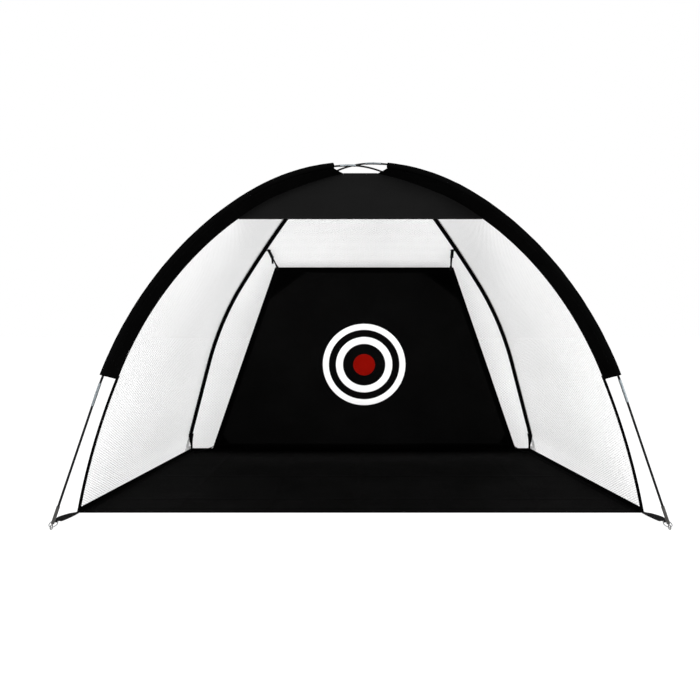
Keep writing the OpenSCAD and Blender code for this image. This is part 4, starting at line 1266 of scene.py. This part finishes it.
def foot_strap(name, side, far):
    """Webbing round the ring and back on itself, sewn to the floor's corner."""
    foot, way = foot_frame(far)
    up = np.array([0, 0, 1.0])
    reach = 2 * RING_R - 1 * MM
    gap = REAR_GAP if far else float(np.linalg.norm(front_foot - front_corner))
    low = FLOOR_T + TAPE_T + STRAP_T / 2 + SEWN_GAP - EYE_Z
    centre = np.array([math.cos(RING_TILT), math.sin(RING_TILT)]) * reach
    loop_r = (LOOP_IN + STRAP_T) / 2
    bend, end = np.array([gap - STRAP_FLAT, low]), np.array([gap + STRAP_LAP, low])
    level = unit(bend - centre)
    aside = np.array([-level[1], level[0]])
    turn = np.linspace(math.radians(38), math.radians(322), 26)
    loop = centre + loop_r * (np.cos(turn)[:, None] * level + np.sin(turn)[:, None] * aside)
    seam = centre + 2.6 * loop_r * level
    shares = np.linspace(0, 0.96, STRAP_STEPS)[:, None]
    upper = seam + (bend - seam) * shares[::-1] + 0.8 * MM * aside
    lower = seam + (bend - seam) * shares - 0.8 * MM * aside
    flat = np.concatenate([[end + [0, 0.9 * MM], bend + [0.5 * MM, 0.9 * MM]], upper, loop, lower, [end]])
    path = foot + flat[:, :1] * way + flat[:, 1:] * up
    near = np.clip((gap - flat[:, 0]) / (gap - centre[0] - loop_r), 0, 1)
    widths = 0.9 + 0.5 * ease(near / 0.8) - 0.25 * ease((near - 0.85) / 0.15)
    rings = rings_along(path, np.cross(up, way), flat_section(STRAP_W, STRAP_T, 4), widths)
    # the strap turns its face towards the middle of the opening between the ring and the floor
    line = unit(level[0] * way + level[1] * up)
    middle = foot + centre[0] * way + centre[1] * up
    middle = middle + ((path - middle) @ line)[:, None] * line
    turned = STRAP_TWIST * (0.2 if far else 1) * ease(near / 0.45) * (1 - 0.9 * ease((near - 0.8) / 0.2))
    c, s = np.cos(turned)[:, None, None], np.sin(turned)[:, None, None]
    off = rings - middle[:, None]
    rings = middle[:, None] + c * off + s * np.cross(line, off) + (1 - c) * (off @ line)[..., None] * line
    reach_along = np.append(0, np.cumsum(np.linalg.norm(np.diff(path, axis=0), axis=1)))
    uv = tape_uv(2 * STRAP_W, reach_along, rings)
    obj = mesh_piece(f"{name}_webbing", rings, sweep(rings), uv, side == "right")
    return dress(obj, webbing, "webbing", replaces=[name])


# ---------------------------------------------------------------- the carried-over metal and rod nodes
def finish_nodes():
    """Materials of the nodes that stay as the construction made them, by the first name that fits."""
    finishes = (
        (("pole_a_ferrules", "pole_b_ferrules"), bright_steel), (("tip_", "pin_"), tip_steel),
        ("ring_", ring_steel), ("pole_", pole_skin),
    )
    for name, node in frame["nodes"].items():
        material = next((found for start, found in finishes if name.startswith(start)), None)
        if material is None:
            continue
        if not node.data.materials:
            node.data.materials.append(material)
        for k in range(len(node.data.materials)):
            node.data.materials[k] = material


# ---------------------------------------------------------------- put together
def declare_sheets():
    """Works out the flat cut and area of the nets and the sizes of the peak and crown cloth, and keeps none
    of them.
    """
    cut, area = net_cut(rear_surface, rear_span)
    cut, area = net_cut(side_surface, side_span)
    low_end, high_end = band_edge(peak_low_t), band_edge(top_t)
    peak_depth = float(np.linalg.norm((high_end - low_end)[1:]))
    rear_end = rear_at(net_high_z + SEWN_GAP)
    front_half, rear_half = -float(high_end[0]), -float(rear_end[0]) - CROWN_INSET
    2 * max(front_half, rear_half)


def build():
    made = {"floor": floor_sheet(), "binding": floor_binding(), "floor_stitching": floor_stitching()}
    made["rear_net"] = net_piece("rear_net_mesh", "rear_net", rear_surface, rear_span, FLOOR_REAR)
    made["rear_foot_tape"] = foot_tape("rear_net_foot_tape", rear_surface, rear_span)
    made["rear_binding"] = net_binding("rear_net_piping", rear_surface, rear_span)
    for side in ("left", "right"):
        mirror = side == "right"
        made[f"{side}_net"] = net_piece(
            f"{side}_net_mesh", f"{side}_net", side_surface, side_span, SIDE_NET_REACH, mirror)
        made[f"{side}_foot_tape"] = foot_tape(f"{side}_net_foot_tape", side_surface, side_span, mirror)
        made[f"{side}_binding"] = net_binding(f"{side}_net_piping", side_surface, side_span, mirror)
        corner_tape(side)
        made[f"{side}_band"] = front_band(side)
        made[f"{side}_band_stitching"] = band_stitching(side)
        made[f"{side}_rear_sleeve"] = rear_sleeve(side)
        made[f"{side}_hem"] = hem_tape(side)
        hem_stitching(side)
        hang_loop(side)
        upper_tie(side)
        lower_tie(side)
        foot_strap(f"strap_front_{side}", side, False)
        foot_strap(f"strap_rear_{side}", side, True)
    made["peak"], made["peak_hem"], made["crown"] = peak_panel(), peak_hem(), crown_patch()
    made["target"], made["target_hem"] = target_sheet(), target_hem()
    made["patches"], made["target_stitching"] = target_patches(), target_stitching()
    face_disc("outer_ring_cloth", "target_outer_ring", *OUTER_RING, white_felt, "ring_white")
    face_disc("inner_ring_cloth", "target_inner_ring", *INNER_RING, white_felt, "ring_white")
    face_disc("bull_cloth", "target_bull", BULL_D, 0.0, red_felt, "bull_red")
    inset = 2.5 * MM
    white_rows = [d / 2 + sign * inset for d, sign in zip(OUTER_RING + INNER_RING, (-1, 1, -1, 1))]
    disc_stitching("ring_stitching", white_rows, white_thread, "ring_white")
    disc_stitching("bull_stitching", [BULL_D / 2 - inset], red_thread, "bull_red")
    finish_nodes()
    declare_sheets()


# ---------------------------------------------------------------- studio
GROUND_HALF, GROUND_DROP, WORLD_LIGHT = 30.0, 0.3 * MM, 0.9


def stage_floor():
    """Plain pale ground that keeps a soft shadow, lifted to white for the camera."""
    signs = ((-1, -1), (1, -1), (1, 1), (-1, 1))
    corners = [(x * GROUND_HALF, y * GROUND_HALF, -GROUND_DROP) for x, y in signs]
    obj = mesh_piece("studio_ground", corners, [(0, 1, 2, 3)])
    made = Recipe("studio_ground")
    seen = seen_rays(made.tree)
    made.set(
        Base_Color=made.between(seen, (0.9, 0.9, 0.9, 1), (0.28, 0.28, 0.28, 1)),
        Roughness=1.0,
        Specular_IOR_Level=0.0,
        Emission_Color=(1, 1, 1, 1),
        Emission_Strength=made.math("MULTIPLY", seen, 0.78),
    )
    obj.data.materials.append(made.material)


def seen_rays(tree):
    """1 for the camera's rays and those that mirrors and glass send on, else 0."""
    path = tree.nodes.new("ShaderNodeLightPath").outputs
    total = path["Is Camera Ray"]
    for kind in ("Is Glossy Ray", "Is Transmission Ray"):
        node = tree.nodes.new("ShaderNodeMath")
        node.operation, node.use_clamp = "ADD", True
        tree.links.new(total, node.inputs[0])
        tree.links.new(path[kind], node.inputs[1])
        total = node.outputs[0]
    return total


def world():
    """White for the rays that see it, and a slightly dimmer white as light."""
    scene_world = bpy.data.worlds.new("studio")
    bpy.context.scene.world = scene_world
    scene_world.use_nodes = True
    tree = scene_world.node_tree
    light, backdrop =tree.nodes["Background"], tree.nodes.new("ShaderNodeBackground")
    light.inputs[0].default_value = backdrop.inputs[0].default_value = (1, 1, 1, 1)
    light.inputs[1].default_value, backdrop.inputs[1].default_value = WORLD_LIGHT, 1.0
    mixed = tree.nodes.new("ShaderNodeMixShader")
    tree.links.new(seen_rays(tree), mixed.inputs[0])
    tree.links.new(light.outputs[0], mixed.inputs[1])
    tree.links.new(backdrop.outputs[0], mixed.inputs[2])
    tree.links.new(mixed.outputs[0], tree.nodes["World Output"].inputs[0])


def softbox(name, place, aim, size, power):
    light = bpy.data.lights.new(name, "AREA")
    light.shape, light.size, light.energy = "SQUARE", size, power
    obj = bpy.data.objects.new(name, light)
    obj.location = place
    obj.rotation_mode = "QUATERNION"
    obj.rotation_quaternion = Vector(np.subtract(aim, place)).to_track_quat("-Z", "Y")
    bpy.context.scene.collection.objects.link(obj)


EYE_HEIGHT, EYE_BACK, LENS, SHIFT_X, SHIFT_Y = 0.677, 2.0837, 29.6, -0.015, -0.0346


def camera():
    """Straight on, at the height and distance that the floor's corners give."""
    data = bpy.data.cameras.new("camera")
    data.lens, data.sensor_width = LENS, 36
    data.shift_x, data.shift_y = SHIFT_X, SHIFT_Y
    obj = bpy.data.objects.new("camera", data)
    obj.location = (0, -MID_Y - EYE_BACK, EYE_HEIGHT)
    obj.rotation_euler = (math.pi / 2, 0, 0)
    bpy.context.scene.collection.objects.link(obj)
    bpy.context.scene.camera = obj


def studio():
    stage_floor()
    world()
    softbox("key_light", (-2.6, -4.2, 3.6), (0, 0, 0.6), 3.0, 200)
    softbox("fill_light", (3.4, -3.0, 2.2), (0, 0, 0.5), 3.0, 100)
    softbox("back_light", (0.5, 4.2, 3.4), (0, 0, 0.6), 3.0, 60)
    bpy.context.scene.view_settings.view_transform = "Standard"


camera()
build()
studio()
